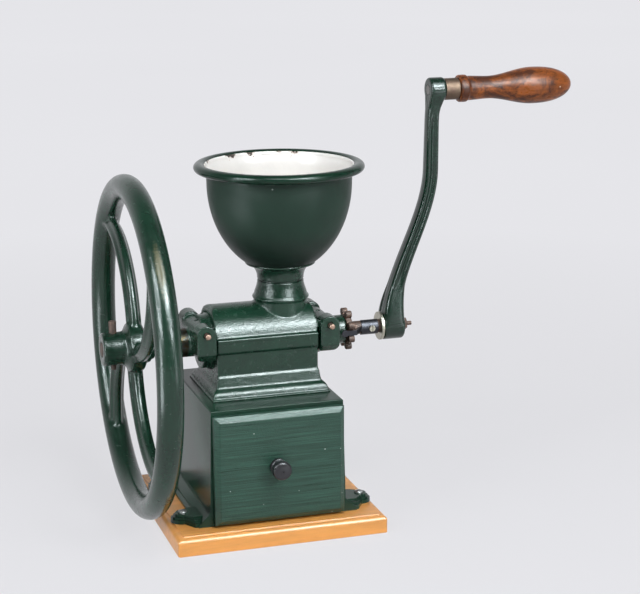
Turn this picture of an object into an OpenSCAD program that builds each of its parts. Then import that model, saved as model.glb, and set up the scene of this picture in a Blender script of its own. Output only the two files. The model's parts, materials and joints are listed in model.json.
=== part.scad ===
// Hand-cranked coffee mill with a flywheel, on a wooden board.
// Origin at the centre of the board's underside. +X runs along the shaft from the flywheel
// to the crank, +Y to the back (the drawer opens towards -Y), +Z up. Sizes in millimetres.

/* [Board] */
// Length of the board along the shaft
board_w = 221; // [190:1:222]
// Depth of the board from front to back
board_d = 210; // [190:1:240]
// Thickness of the board
board_t = 19; // [16:0.5:24]
// Radius of the rounded nosing along the board's edge
board_nose = 4.5; // [2:0.5:6]
// Width of the step inside the nosing
board_step = 2.5; // [1:0.5:5]

/* [Casing] */
// Place of the casing's middle along the shaft
casing_x = 1; // [-4:0.5:4]
// Width of the casing at its top
casing_top_w = 139; // [132:1:150]
// Width of the casing above its plinth
casing_foot_w = 144; // [139:1:152]
// Depth of the casing
casing_d = 160; // [150:1:170]
// Height of the casing above the board
casing_h = 121.5; // [112:0.5:130]
// Thickness of the casing's walls
casing_wall = 7; // [5:0.5:9]
// Thickness of the casing's top plate
casing_roof = 7; // [5:0.5:9]
// Height of the plinth strip along both sides
plinth_h = 14; // [10:0.5:18]
// How far the plinth strip stands out at its foot
plinth_out = 12.5; // [10:0.5:13]
// Distance of the lug screws from the casing's middle, along the shaft
lug_x = 95; // [90:0.5:97]
// Distance of the lug screws from the casing's middle, front to back
lug_y = 53; // [46:1:55]
// Radius of a lug's round end
lug_r = 12; // [10:0.5:12.5]
// Height of a lug
lug_h = 9; // [7:0.5:12]

/* [Drawer] */
// Width of the drawer front
front_w = 137; // [130:1:139]
// Thickness of the drawer front
front_t = 10; // [8:0.5:14]
// Width of the bevel around the drawer front
front_bevel = 5.5; // [3:0.5:8]
// Depth of that bevel
front_bevel_depth = 4; // [2:0.5:6]
// Gap between the drawer front and the board
front_lift = 2.5; // [1:0.5:5]
// Height of the strip of casing left bare above the drawer front
front_drop = 4.5; // [3:0.5:8]
// Thickness of the drawer's walls and floor
tray_wall = 4; // [3:0.5:6]
// Clearance of the drawer in the casing
tray_clear = 1.5; // [0.6:0.1:3]
// Height of the drawer's walls
tray_h = 96; // [80:1:100]
// Diameter of the knob's head
knob_d = 19.6; // [17:0.2:24]
// How far the knob stands out
knob_len = 20; // [18:0.5:28]
// Place of the knob beside the drawer front's middle
knob_side = -3.5; // [-8:0.5:8]
// Height of the knob above the drawer front's middle
knob_up = 1.5; // [-8:0.5:8]

/* [Mill head] */
// Height of the shaft's axis above the table
shaft_z = 192.4; // [186:0.2:200]
// Place of the barrel's middle along the shaft
barrel_x = 4; // [2:0.5:6]
// Length of the barrel
barrel_len = 108; // [104:1:112]
// Radius of the barrel's arched top
barrel_r = 37.5; // [36:0.5:40]
// Radius that rounds the barrel's ends at the top
barrel_round = 7; // [3:0.5:10]
// Height of the plain band below the arch
band_h = 13.4; // [10:0.2:16]
// How far the band's lower edge lies below the shaft's axis
band_drop = 5.4; // [4:0.2:8]
// How far the band stands out from the neck
band_out = 2.5; // [1.5:0.1:4]
// Radius of the bead between arch and band
bead_r = 1.8; // [1:0.1:2.5]
// Depth of the neck, front to back
neck_d = 74; // [72:1:78]
// Height of the neck's foot above the casing's top
neck_foot_h = 23; // [20:0.5:25]
// Height of the moulding's middle edge above the casing's top
mid_h = 10; // [8:0.5:12]
// How far the moulding's middle edge stands out at the ends
mid_out_x = 2.4; // [2:0.2:5]
// How far the moulding's middle edge stands out at front and back
mid_out_y = 4.4; // [3:0.2:8]
// How far the moulding's foot stands out at the ends
foot_out_x = 9.5; // [8:0.5:10]
// How far the moulding's foot stands out at front and back
foot_out_y = 14; // [11:0.5:17]
// Thickness of the plain edge at the moulding's foot
foot_edge = 1.5; // [1:0.5:3]
// Radius of the chamber that holds the burrs
chamber_r = 29.5; // [28:0.5:31]
// Radius of the feed bore below the hopper
feed_r = 21; // [19:0.5:23]
// Place of the step that the fixed burr sits against
burr_seat_x = -8; // [-12:0.5:-6]

/* [Hopper] */
// Place of the hopper's axis along the shaft
hopper_x = 28.5; // [26:0.5:30]
// Outer radius of the bowl
bowl_r = 74.7; // [66:0.1:82]
// Height of the bowl's round part, as half an ellipse
bowl_h = 95; // [88:0.5:102]
// Height of the straight part between the round part and the rim
bowl_straight = 15.9; // [12:0.1:20]
// Thickness of the bowl's sheet
bowl_t = 2; // [1.2:0.1:3]
// Half width of the rolled rim
rim_roll_w = 6.2; // [4.6:0.2:8]
// Half height of the rolled rim
rim_roll_h = 4.8; // [3:0.2:6]
// Radius of the bowl's lower edge, where it sits in the collar
bowl_foot_r = 36.4; // [34:0.2:40]
// Height of the collar
collar_h = 19.1; // [16:0.1:24]
// Radius of the collar's waist
collar_r = 24.2; // [23:0.2:26]
// Radius of the neck that the beans fall through
throat_r = 17.5; // [14:0.5:18]
// Radius of the tower below the collar, at its widest
tower_r = 28.6; // [27:0.2:30]
// Height of the tower's top above the shaft's axis
tower_h = 60; // [57:0.2:64]

/* [Bearings] */
// Thickness of each bearing bridge along the shaft
bridge_t = 20; // [18:0.5:22]
// Half length of a bridge, front to back
bridge_half = 43; // [41:0.5:46]
// Depth of the end block of a bridge
block_d = 19; // [17:0.5:20]
// Height of a bridge's end block above the axis
block_up = 26; // [24:0.5:28]
// Depth of a bridge's end block below the axis
block_down = 4.5; // [3:0.5:6]
// Height of a bridge's middle above the axis
saddle_up = 22.5; // [20:0.5:24]
// Radius of the round plate on the left bridge's inner side
plate_r = 28; // [26:0.5:29]
// Radius of the bearing boss
boss_r = 15; // [13:0.5:17]
// Length of the bearing boss
boss_len = 17; // [14:0.5:20]
// Gap between a bridge and the barrel's end
bridge_gap = 1.5; // [0.5:0.5:3]
// Outer radius of the bearing bushes
bush_r = 10.5; // [9.5:0.1:11.5]
// Radius of the bridge pins
pin_r = 2.9; // [2.4:0.1:3.1]
// How far the bridge pins stand out
pin_out = 7; // [4:0.5:8]

/* [Shaft and flywheel] */
// Radius of the shaft
shaft_r = 7; // [6.5:0.1:7.5]
// Place of the flywheel's middle plane
wheel_x = -127.5; // [-132:0.5:-127]
// Radius of the middle of the flywheel's rim
wheel_r = 163.7; // [150:0.1:170]
// Radius of the rim's round section
rim_r = 13; // [10:0.5:13]
// Radius of the hub
hub_r = 17; // [15:0.5:19]
// Length of the hub outside the rim's plane
hub_out = 34; // [28:0.5:38]
// Length of the hub inside the rim's plane
hub_in = 19.5; // [16:0.5:22]
// Number of curved spokes
spokes = 4; // [3:1:5]
// Radius of a spoke's curve
spoke_bend = 108; // [104:1:114]
// Width of a spoke
spoke_w = 19; // [15:0.5:21]
// Thickness of a spoke's flange
spoke_t = 9; // [7:0.5:10]
// Depth of the rib on a spoke, over both sides
spoke_rib = 16; // [13:0.5:18]

/* [Grind setting] */
// Number of lobes on the star nut
lobes = 8; // [6:1:8]
// Radius of the circle of lobe centres
lobe_ring_r = 18.4; // [17:0.2:20]
// Radius of a lobe
lobe_r = 3.9; // [3:0.1:4.2]
// Thickness of the star nut
star_t = 6.5; // [5:0.5:9]
// Thickness of the leaf spring
leaf_t = 1.2; // [0.8:0.1:1.6]

/* [Crank] */
// Distance between the crank's two axes
crank_r = 248.8; // [220:0.2:270]
// Place of the crank's inner face along the shaft
crank_x = 139; // [138:0.5:146]
// Width of the lower boss
crank_boss_w = 23.3; // [22:0.1:28]
// Radius of the lower boss
crank_boss_r = 15; // [13:0.5:17]
// Outward offset of the arm's swan neck
crank_offset = 40.9; // [34:0.1:46]
// Width of the arm above the lower boss, seen from the front
arm_w_low = 17.2; // [15:0.2:20]
// Width of the arm below the upper boss
arm_w_high = 13.4; // [12:0.2:16]
// Depth of the arm above the lower boss
arm_d_low = 21; // [18:0.5:25]
// Depth of the arm below the upper boss
arm_d_high = 15; // [13:0.5:20]
// Depth of the channel along the front and back of the arm
arm_channel = 3.2; // [1:0.2:4]
// Width of the upper boss
top_boss_w = 17; // [15:0.5:22]
// Radius of the upper boss
top_boss_r = 12.8; // [12:0.2:16]

/* [Grip] */
// Length of the wooden grip
grip_len = 129; // [110:1:140]
// Largest radius of the grip
grip_r = 19.3; // [16:0.1:22]
// Radius of the grip's waist
grip_waist_r = 11.8; // [10:0.1:14]
// Radius of the grip's collar
grip_collar_r = 14.2; // [12.5:0.1:16]
// Length of the steel ferrule between crank and grip
ferrule_len = 15.5; // [8:0.5:18]
// Radius of the ferrule
ferrule_r = 11.3; // [10:0.1:12]

/* [Hidden] */
// Radial clearance of running fits
run_clear = 0.05;
// Clearance of pieces that are set in or screwed together
set_clear = 0.15;
// Axial gap between pieces that turn against each other
turn_gap = 0.5;
// Hair gap between pieces that rest on each other along a curve
seat_gap = 0.02;
// Small overlap that keeps cuts clean
eps = 0.5;
$fn = 72;

casing_z = board_t + casing_h;
front_y = -casing_d / 2;
barrel_x0 = barrel_x - barrel_len / 2;
barrel_x1 = barrel_x + barrel_len / 2;
band_z0 = shaft_z - band_drop;
band_z1 = band_z0 + band_h;
neck_w = barrel_len - 1;
bridge_x_left = barrel_x0 - bridge_gap - bridge_t;
bridge_x_right = barrel_x1 + bridge_gap;
boss_end_left = bridge_x_left - boss_len;
boss_end_right = bridge_x_right + bridge_t + boss_len;
tower_z = shaft_z + tower_h;
bowl_z = tower_z + collar_h;
hub_x0 = wheel_x - hub_out;
hub_x1 = wheel_x + hub_in;
star_x = boss_end_right + turn_gap;
washer_t = 3;
washer_x = crank_x - washer_t;
crank_x1 = crank_x + crank_boss_w;
crank_z = shaft_z + crank_r;
// Height where the swan neck starts, and the height it takes
neck_start = 10;
neck_rise = 155;
// Further lean of the arm over its whole length
arm_lean = 4;
// Heights over which the arm flares into the lower and the upper boss
arm_flare = 46;
top_flare = 30;
// How far the upper boss stands outside the arm's middle
top_boss_shift = 3.5;
top_boss_x = arm_mid(crank_r) - top_boss_w / 2;
top_boss_x1 = top_boss_x + top_boss_w;
grip_x = top_boss_x1 + ferrule_len;

// Tongues of the barrel that the bridges are pinned to: place from the axis, size and reach
tongue_y = 30;
tongue_z = 16.6;
tongue_w = 7;
tongue_h = 8;
tongue_len = 14;

enamel_green = "#1f3a2c";

// Shapes that repeat

// A flat outline (its x along Y, its y along Z), extruded from x0 to x1 along X
module along_x(x0, x1) {
    translate([x0, 0, 0]) rotate([90, 0, 90]) linear_extrude(x1 - x0) children();
}

// A flat outline (its x along X, its y along Z), extruded from y0 to y1 along Y
module along_y(y0, y1) {
    translate([0, y1, 0]) rotate([90, 0, 0]) linear_extrude(y1 - y0) children();
}

// A round bar about the shaft's axis
module rod_x(r, x0, x1) {
    translate([x0, 0, shaft_z]) rotate([0, 90, 0]) cylinder(r = r, h = x1 - x0);
}

// A turned shape about the shaft's axis, its profile given as radius against x
module turned_x() {
    translate([0, 0, shaft_z]) rotate([0, 90, 0]) rotate_extrude() children();
}

// An upright pin through the shaft, a little shorter than the round piece it fastens
module cross_pin(x, r, piece_r) {
    translate([x, 0, shaft_z - piece_r + eps]) cylinder(r = r, h = 2 * piece_r - 2 * eps);
}

// The bore for that pin
module cross_bore(x, r, piece_r) {
    translate([x, 0, shaft_z - piece_r - eps]) cylinder(r = r + set_clear, h = 2 * piece_r + 2 * eps);
}

// Four copies at the corners of a rectangle
module at_corners(x, y) {
    for (i = [-1, 1], j = [-1, 1]) translate([i * x, j * y, 0]) children();
}

// Points on a quarter of an ellipse, from [x0, y0] to [x1, y1], that leaves along x (1) or along y (0)
function quarter(x0, y0, x1, y1, along, n = 8) = [
    for (i = [0:n]) let (a = 90 * i / n)
        along == 1
            ? [x0 + (x1 - x0) * sin(a), y1 + (y0 - y1) * cos(a)]
            : [x1 + (x0 - x1) * cos(a), y0 + (y1 - y0) * sin(a)]
];

// Points mirrored about the line x = c, in reverse order
function mirrored(points, c) = [for (i = [len(points) - 1:-1:0]) [2 * c - points[i][0], points[i][1]]];

// A step from 0 to 1 with soft ends
function smooth(t) = t <= 0 ? 0 : t >= 1 ? 1 : t * t * (3 - 2 * t);

// Board

// Section of the board: a rounded nosing, then a step up to the flat top
module board_section(w) {
    top_w = w - 2 * (board_nose + board_step);
    nose_z = board_t - board_step / 2 - board_nose;
    translate([-w / 2, 0]) square([w, nose_z]);
    translate([-w / 2 + board_nose, 0]) square([w - 2 * board_nose, nose_z + board_nose]);
    translate([-top_w / 2, 0]) square([top_w, board_t]);
    for (s = [-1, 1]) translate([s * (w / 2 - board_nose), nose_z]) circle(board_nose);
}

lug_screw_r = 2.2;
lug_screw_len = 22;

module base_board() {
    color("#d99a4e")
    difference() {
        intersection() {
            along_y(-board_d / 2, board_d / 2) board_section(board_w);
            along_x(-board_w / 2, board_w / 2) board_section(board_d);
        }
        translate([casing_x, 0, board_t + lug_h - lug_screw_len - set_clear])
            at_corners(lug_x, lug_y) cylinder(r = lug_screw_r + set_clear, h = lug_screw_len);
    }
}

// Casing

// Section across the shaft's direction: tapered sides on a bevelled plinth with a small step
module casing_section() {
    top = casing_top_w / 2;
    foot = casing_foot_w / 2;
    edge = 1;
    plinth_edge = 2.5;
    lip = 1.2;
    step = 0.7;
    step_x = casing_x + foot + plinth_out * step;
    step_z = board_t + plinth_edge + (plinth_h - plinth_edge) * (1 - step) * 0.6;
    side = [
        [casing_x + foot + plinth_out, board_t],
        [casing_x + foot + plinth_out, board_t + plinth_edge],
        [step_x, step_z],
        [step_x, step_z + lip],
        [casing_x + foot + lip, board_t + plinth_h - lip],
        [casing_x + foot + lip, board_t + plinth_h],
        [casing_x + foot, board_t + plinth_h],
        [casing_x + top, casing_z - edge],
        [casing_x + top - edge, casing_z]
    ];
    polygon(concat(side, mirrored(side, casing_x)));
}

// One lug: a leaf that reaches out from the plinth to a round, stepped screw boss
module lug() {
    root = casing_foot_w / 2 - lug_x - casing_wall / 2;
    leaf_front = 25;
    leaf_back = 19;
    shoulder = -8;
    layers = [[1, 0.45], [0.82, 0.72], [0.64, 1]];
    for (l = layers) {
        linear_extrude(lug_h * l[1]) {
            circle(lug_r * l[0]);
            polygon([[root, -leaf_front * l[0]], [shoulder, -leaf_front * l[0]], [0, -lug_r * l[0]],
                     [0, lug_r * l[0]], [shoulder, leaf_back * l[0]], [root, leaf_back * l[0]]]);
        }
    }
}

cavity_w = casing_top_w - 2 * casing_wall;
cavity_z = casing_z - casing_roof;
// Chute that the ground coffee falls through, under the burrs
chute_w = 44;
chute_d = 46;
chute_end_wall = 4;
chute_x = barrel_x0 + chute_w / 2 + chute_end_wall;
// Bolts that hold the mill head down, and how far they reach into it
bolt_r = 3;
bolt_x = 48;
bolt_y = 35;
bolt_reach = 10;

module body_casing() {
    color(enamel_green)
    difference() {
        union() {
            along_y(front_y, -front_y) casing_section();
            translate([casing_x, 0, board_t])
                for (i = [0, 1], j = [0, 1])
                    mirror([i, 0, 0]) mirror([0, j, 0]) translate([lug_x, -lug_y, 0]) lug();
        }
        translate([casing_x - cavity_w / 2, front_y - eps, board_t - eps])
            cube([cavity_w, casing_d - casing_wall + eps, cavity_z - board_t + eps]);
        translate([chute_x - chute_w / 2, -chute_d / 2, cavity_z - eps])
            cube([chute_w, chute_d, casing_roof + 2 * eps]);
        translate([barrel_x, 0, cavity_z - eps])
            at_corners(bolt_x, bolt_y) cylinder(r = bolt_r + set_clear, h = casing_roof + 2 * eps);
        translate([casing_x, 0, board_t - eps])
            at_corners(lug_x, lug_y) cylinder(r = lug_screw_r + set_clear, h = lug_h + 2 * eps);
    }
}

module lug_screws() {
    head_r = 4.6;
    head_h = 2.6;
    dome_r = 6.6;
    slot = 1;
    color("#c9c9c6")
    translate([casing_x, 0, board_t + lug_h]) at_corners(lug_x, lug_y) {
        difference() {
            intersection() {
                cylinder(r = head_r, h = head_h);
                translate([0, 0, head_h - dome_r]) sphere(dome_r);
            }
            translate([-head_r, -slot / 2, head_h - slot]) cube([2 * head_r, slot, slot + eps]);
        }
        translate([0, 0, -lug_screw_len]) cylinder(r = lug_screw_r, h = lug_screw_len + eps);
    }
}

// Drawer

front_z0 = board_t + front_lift;
front_z1 = casing_z - front_drop;
front_back_y = front_y - turn_gap;
front_mid_z = (front_z0 + front_z1) / 2;
knob_x = casing_x + knob_side;
knob_z = front_mid_z + knob_up;
knob_screw_r = 1.9;
knob_screw_reach = 13;

// A plate's section with a bevelled front edge; thickness runs along y, towards the front
module bevelled(half) {
    polygon([[-half, 0], [half, 0], [half, -front_t + front_bevel_depth], [half - front_bevel, -front_t],
             [-half + front_bevel, -front_t], [-half, -front_t + front_bevel_depth]]);
}

module drawer_front() {
    color("#2f4a3c")
    difference() {
        intersection() {
            translate([casing_x, front_back_y, front_z0])
                linear_extrude(front_z1 - front_z0) bevelled(front_w / 2);
            translate([casing_x - front_w / 2, front_back_y, front_mid_z])
                rotate([0, 90, 0]) linear_extrude(front_w) bevelled((front_z1 - front_z0) / 2);
        }
        translate([knob_x, front_back_y + eps, knob_z])
            rotate([90, 0, 0]) cylinder(r = knob_screw_r + set_clear, h = front_t + 2 * eps);
    }
}

tray_back_gap = 4;
tray_lift = 0.4;
tray_w = cavity_w - 2 * tray_clear;
tray_d = casing_d - casing_wall - tray_back_gap;
tray_z = board_t + tray_lift;

module drawer_tray() {
    color("#b98a52")
    difference() {
        translate([casing_x - tray_w / 2, front_back_y, tray_z]) cube([tray_w, tray_d, tray_h]);
        translate([casing_x - tray_w / 2 + tray_wall, front_back_y + tray_wall, tray_z + tray_wall])
            cube([tray_w - 2 * tray_wall, tray_d - 2 * tray_wall, tray_h]);
        translate([knob_x, front_back_y - eps, knob_z])
            rotate([-90, 0, 0]) cylinder(r = knob_screw_r + set_clear, h = tray_wall + 2 * eps);
    }
}

// Turned knob: base ring, short waist and a head with a nearly flat face
module drawer_knob() {
    head_r = knob_d / 2;
    base_r = head_r * 0.86;
    base_h = 3.5;
    waist_r = head_r * 0.64;
    waist_z = knob_len * 0.4;
    waist_len = 1;
    head_z = knob_len * 0.62;
    face_edge = 2.2;
    dome = 0.8;
    face_z = knob_len - dome;
    color("#151515")
    translate([knob_x, front_back_y - front_t, knob_z]) rotate([90, 0, 0])
    difference() {
        rotate_extrude() polygon(concat(
            [[0, 0], [base_r, 0]],
            quarter(base_r, base_h, waist_r, waist_z, 1, 5),
            quarter(waist_r, waist_z + waist_len, head_r, head_z, 0, 5),
            quarter(head_r, face_z - face_edge, head_r - face_edge, face_z, 0, 5),
            [[0, knob_len]]));
        translate([0, 0, -eps]) cylinder(r = knob_screw_r + set_clear, h = knob_screw_reach + 2 * eps);
    }
}

module knob_screw() {
    inner_y = front_back_y + tray_wall;
    reach = front_t + tray_wall + knob_screw_reach;
    head_r = 4;
    head_h = 2.2;
    slot = 1;
    color("#9a9a96")
    translate([knob_x, inner_y, knob_z]) rotate([90, 0, 0]) {
        cylinder(r = knob_screw_r, h = reach);
        translate([0, 0, -head_h]) difference() {
            cylinder(r = head_r, h = head_h);
            translate([-head_r - eps, -slot / 2, -eps]) cube([2 * head_r + 2 * eps, slot, slot + eps]);
        }
    }
}

// Mill head

// Outline of the neck and its moulded foot, around the middle c, given the neck's half width:
// a plain edge, a round moulding, a sloping band with a lip along its top, then the neck
module head_section(c, half, mid, foot) {
    ledge = foot * 0.18;
    lip_out = mid * 0.4;
    lip_h = 0.8;
    cove_h = 2.2;
    lip_z = casing_z + neck_foot_h - cove_h - lip_h;
    side = concat(
        [[c + half + foot, casing_z], [c + half + foot, casing_z + foot_edge]],
        quarter(c + half + foot - ledge, casing_z + foot_edge, c + half + mid, casing_z + mid_h, 0),
        [[c + half + lip_out, lip_z], [c + half + lip_out, lip_z + lip_h]],
        [[c + half, casing_z + neck_foot_h], [c + half, shaft_z]]
    );
    polygon(concat(side, mirrored(side, c)));
}

// Arched barrel with its band and bead, seen along the shaft
module barrel_section() {
    band_half = neck_d / 2 + band_out;
    bead_y = band_half - bead_r * 0.6;
    translate([0, shaft_z]) intersection() {
        circle(barrel_r);
        translate([-barrel_r, 0]) square([2 * barrel_r, barrel_r]);
    }
    translate([-band_half, band_z0]) square([2 * band_half, band_h]);
    for (s = [-1, 1]) translate([s * bead_y, band_z1]) circle(bead_r);
}

// The barrel's side view: upper corners rounded
module barrel_side() {
    top = shaft_z + barrel_r;
    translate([barrel_x0, band_z0]) square([barrel_len, top - barrel_round - band_z0]);
    translate([barrel_x0 + barrel_round, band_z0]) square([barrel_len - 2 * barrel_round, top - band_z0]);
    for (x = [barrel_x0 + barrel_round, barrel_x1 - barrel_round])
        translate([x, top - barrel_round]) circle(barrel_round);
}

// Spigot of the collar, set into the tower
collar_spigot = 9;
spigot_wall = 2.4;
spigot_r = throat_r + spigot_wall;

// Round tower that carries the hopper: a plain foot with a ring, then a curve in to the collar
module tower() {
    ring_r = 1.6;
    ring_drop = 18;
    ring_z = tower_z - ring_drop;
    top_edge = 1.5;
    curve_z = tower_z - top_edge;
    inset = 0.5;
    steps = 12;
    translate([hopper_x, 0, 0]) rotate_extrude() {
        polygon(concat(
            [[0, shaft_z], [tower_r - inset, shaft_z]],
            [for (i = [0:steps]) let (u = i / steps)
                [tower_r - inset + (collar_r - tower_r + inset) * smooth(u),
                 ring_z + (curve_z - ring_z) * u]],
            [[collar_r, tower_z], [0, tower_z]]));
        translate([tower_r - inset, ring_z]) circle(ring_r);
    }
}

// Tongues at the barrel's ends that the bearing bridges are pinned to
module tongues() {
    for (s = [-1, 1]) {
        translate([barrel_x0 - tongue_len, s * tongue_y - tongue_w / 2, shaft_z + tongue_z - tongue_h / 2])
            cube([barrel_len + 2 * tongue_len, tongue_w, tongue_h]);
    }
}

left_pin_x = bridge_x_left + bridge_t / 2;
right_pin_x = bridge_x_right + bridge_t / 2;

module pin_bores(x, r) {
    for (s = [-1, 1])
        translate([x, s * (bridge_half + eps), shaft_z + tongue_z])
            rotate([s * 90, 0, 0]) cylinder(r = r, h = bridge_half);
}

// Fixed burr: its thickness, and its screws' shank, heads, ring and reach into the barrel
burr_t = 9;
burr_screw_r = 1.6;
burr_screw_head_r = 3;
burr_screw_head_h = 2;
burr_screw_sunk = 4.5;
burr_screw_reach = 7;
burr_screw_ring = (chamber_r + feed_r) / 2;

// Three places around the shaft's axis, facing along +X from x
module burr_screw_places(x) {
    for (a = [90, 210, 330])
        translate([x, 0, shaft_z]) rotate([a, 0, 0])
            translate([0, burr_screw_ring, 0]) rotate([0, 90, 0]) children();
}

module mill_head() {
    color(enamel_green)
    difference() {
        union() {
            intersection() {
                along_x(barrel_x - casing_top_w, barrel_x + casing_top_w)
                    head_section(0, neck_d / 2, mid_out_y, foot_out_y);
                along_y(front_y, -front_y) head_section(barrel_x, neck_w / 2, mid_out_x, foot_out_x);
            }
            intersection() {
                along_x(barrel_x0, barrel_x1) barrel_section();
                along_y(-barrel_len, barrel_len) barrel_side();
            }
            tower();
            tongues();
        }
        rod_x(chamber_r, barrel_x0 - tongue_len - eps, burr_seat_x);
        rod_x(feed_r, burr_seat_x - eps, barrel_x1 + tongue_len + eps);
        translate([chute_x - chute_w / 2, -chute_d / 2, casing_z - eps])
            cube([chute_w, chute_d, shaft_z - casing_z]);
        translate([hopper_x, 0, shaft_z]) cylinder(r = throat_r, h = tower_h + eps);
        translate([hopper_x, 0, tower_z - collar_spigot - set_clear])
            cylinder(r = spigot_r + set_clear, h = collar_spigot + eps);
        pin_bores(left_pin_x, pin_r + set_clear);
        pin_bores(right_pin_x, pin_r + set_clear);
        translate([barrel_x, 0, casing_z - eps])
            at_corners(bolt_x, bolt_y) cylinder(r = bolt_r + set_clear, h = bolt_reach + 2 * eps);
        burr_screw_places(burr_seat_x - eps)
            cylinder(r = burr_screw_r + set_clear, h = burr_screw_reach + 2 * eps);
    }
}

module head_bolts() {
    head_r = 5.8;
    head_h = 4;
    color("#6d6d6a")
    translate([barrel_x, 0, cavity_z]) at_corners(bolt_x, bolt_y) {
        cylinder(r = bolt_r, h = casing_roof + bolt_reach);
        translate([0, 0, -head_h]) cylinder(r = head_r, h = head_h, $fn = 6);
    }
}

// Hopper

// Collar: a flared cup on a narrow waist, with a spigot that drops into the tower
module hopper_collar() {
    waist_h = collar_h * 0.1;
    lip = 2;
    seam = 0.8;
    inner = quarter(throat_r, waist_h, bowl_foot_r - bowl_t, collar_h, 0);
    color(enamel_green)
    translate([hopper_x, 0, tower_z]) rotate_extrude()
    polygon(concat(
        [[throat_r, -collar_spigot], [spigot_r, -collar_spigot], [spigot_r, 0], [collar_r - seam, 0]],
        quarter(collar_r, waist_h, bowl_foot_r, collar_h - lip, 0),
        [[bowl_foot_r, collar_h]],
        [for (i = [len(inner) - 1:-1:0]) inner[i]]));
}

// Half ellipse of the bowl from its foot up to its widest place, as [radius, height above its foot]
function bowl_curve(a, b, foot, n = 22) =
    let (s0 = acos(foot / a))
    [for (i = [0:n]) let (s = s0 * (1 - i / n)) [a * cos(s), b * (sin(s0) - sin(s))]];

module hopper_bowl() {
    foot_in = bowl_foot_r - bowl_t;
    outer = bowl_curve(bowl_r, bowl_h, bowl_foot_r);
    inner = bowl_curve(bowl_r - bowl_t, bowl_h, foot_in);
    top_z = outer[len(outer) - 1][1] + bowl_straight;
    flare = 1;
    overlap = bowl_t / 8;
    roll_x = bowl_r + flare + rim_roll_w - overlap;
    turn = 32;
    color("#24402f")
    translate([hopper_x, 0, bowl_z + seat_gap]) rotate_extrude() {
        polygon(concat(outer, [[bowl_r + flare, top_z], [bowl_r + flare - bowl_t, top_z]],
                       [for (i = [len(inner) - 1:-1:0]) inner[i]]));
        polygon([for (i = [0:turn - 1]) let (a = 360 * i / turn)
            [roll_x + rim_roll_w * cos(a), top_z + rim_roll_h * sin(a)]]);
    }
}

// Bearings

// Sizes of a bridge: rounded edges, the bevelled foot of its end blocks, its plate and its spigot
block_round = 6;
foot_in = 5;
foot_h = 7;
plate_t = 9;
// How far the right bridge's plate overlaps the bore that its spigot closes
plate_rim = 1.2;
bridge_spigot = 6;
oil_r = 2;

// Front view of a bridge's end block: a full round on top, and the lower outer corner rounded
module block_section() {
    low = block_down + foot_h;
    top_r = bridge_t / 2;
    translate([0, -low]) square([bridge_t - block_round, low + block_up - top_r]);
    translate([0, -low + block_round]) square([bridge_t, low + block_up - top_r - block_round]);
    translate([top_r, block_up - top_r]) circle(top_r);
    translate([bridge_t - block_round, -low + block_round]) circle(block_round);
}

// Side view of an end block: the lower outer edge bevelled
module block_side() {
    low = -block_down - foot_h;
    polygon([[-bridge_half, block_up], [-bridge_half, -block_down], [-bridge_half + foot_in, low],
             [-bridge_half + block_d, low], [-bridge_half + block_d, block_up]]);
}

// Front view of a bridge's middle, a little lower than its end blocks
module saddle_section() {
    top_r = bridge_t / 2;
    translate([0, -block_down]) square([bridge_t, block_down + saddle_up - top_r]);
    translate([top_r, saddle_up - top_r]) circle(top_r);
}

// Bridge across one end of the barrel, drawn from its inner face towards +X; its spigot closes the bore
module bridge(bore_r, face_r) {
    inner_x = -bridge_gap - bridge_spigot;
    slot_len = tongue_len - bridge_gap + 1;
    saddle_half = bridge_half - block_d / 2;
    translate([0, 0, shaft_z])
    difference() {
        union() {
            for (s = [0, 1]) mirror([0, s, 0]) intersection() {
                along_y(-bridge_half, -bridge_half + block_d) block_section();
                along_x(0, bridge_t) block_side();
            }
            along_y(-saddle_half, saddle_half) saddle_section();
            rotate([0, 90, 0]) cylinder(r = face_r, h = plate_t);
            rotate([0, 90, 0]) cylinder(r = boss_r, h = bridge_t + boss_len);
            translate([inner_x, 0, 0]) rotate([0, 90, 0]) cylinder(r = bore_r - set_clear, h = eps - inner_x);
        }
        translate([inner_x - eps, 0, 0]) rotate([0, 90, 0])
            cylinder(r = bush_r + set_clear, h = bridge_t + boss_len - inner_x + 2 * eps);
        for (s = [-1, 1])
            translate([-eps, s * tongue_y - tongue_w / 2 - set_clear, tongue_z - tongue_h / 2 - set_clear])
                cube([slot_len + eps, tongue_w + 2 * set_clear, tongue_h + 2 * set_clear]);
        translate([bridge_t / 2, 0, 0]) cylinder(r = oil_r, h = saddle_up + eps);
        translate([bridge_t / 2, 0, -shaft_z]) pin_bores(0, pin_r + set_clear);
    }
}

module bearing_bridge_left() {
    color(enamel_green) translate([bridge_x_left + bridge_t, 0, 0]) mirror([1, 0, 0])
        bridge(chamber_r, plate_r);
}

module bearing_bridge_right() {
    color(enamel_green) translate([bridge_x_right, 0, 0]) bridge(feed_r, feed_r + plate_rim);
}

// The two dowels of one bridge, their outer ends rounded off
module bridge_pins(x) {
    tip = 1;
    past_tongue = 3;
    inner = tongue_y - tongue_w / 2 - past_tongue;
    body_len = bridge_half + pin_out - tip - inner;
    color("#7a4a35")
    for (s = [0, 1]) mirror([0, s, 0])
        translate([x, -inner, shaft_z + tongue_z]) rotate([90, 0, 0]) {
            cylinder(r = pin_r, h = body_len);
            translate([0, 0, body_len]) cylinder(r1 = pin_r, r2 = pin_r - tip, h = tip);
        }
}

module bridge_pins_left() bridge_pins(left_pin_x);

module bridge_pins_right() bridge_pins(right_pin_x);

module bush(x0, x1) {
    color("#b08d4a")
    difference() {
        rod_x(bush_r, x0, x1);
        rod_x(shaft_r + run_clear, x0 - eps, x1 + eps);
    }
}

module bush_left() bush(boss_end_left, bridge_x_left + bridge_t);

module bush_right() bush(bridge_x_right, boss_end_right);

// Burrs and auger

burr_teeth = 24;
furrow_w = 2.2;
furrow_depth = 3;
furrow_end_depth = 0.4;
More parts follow.
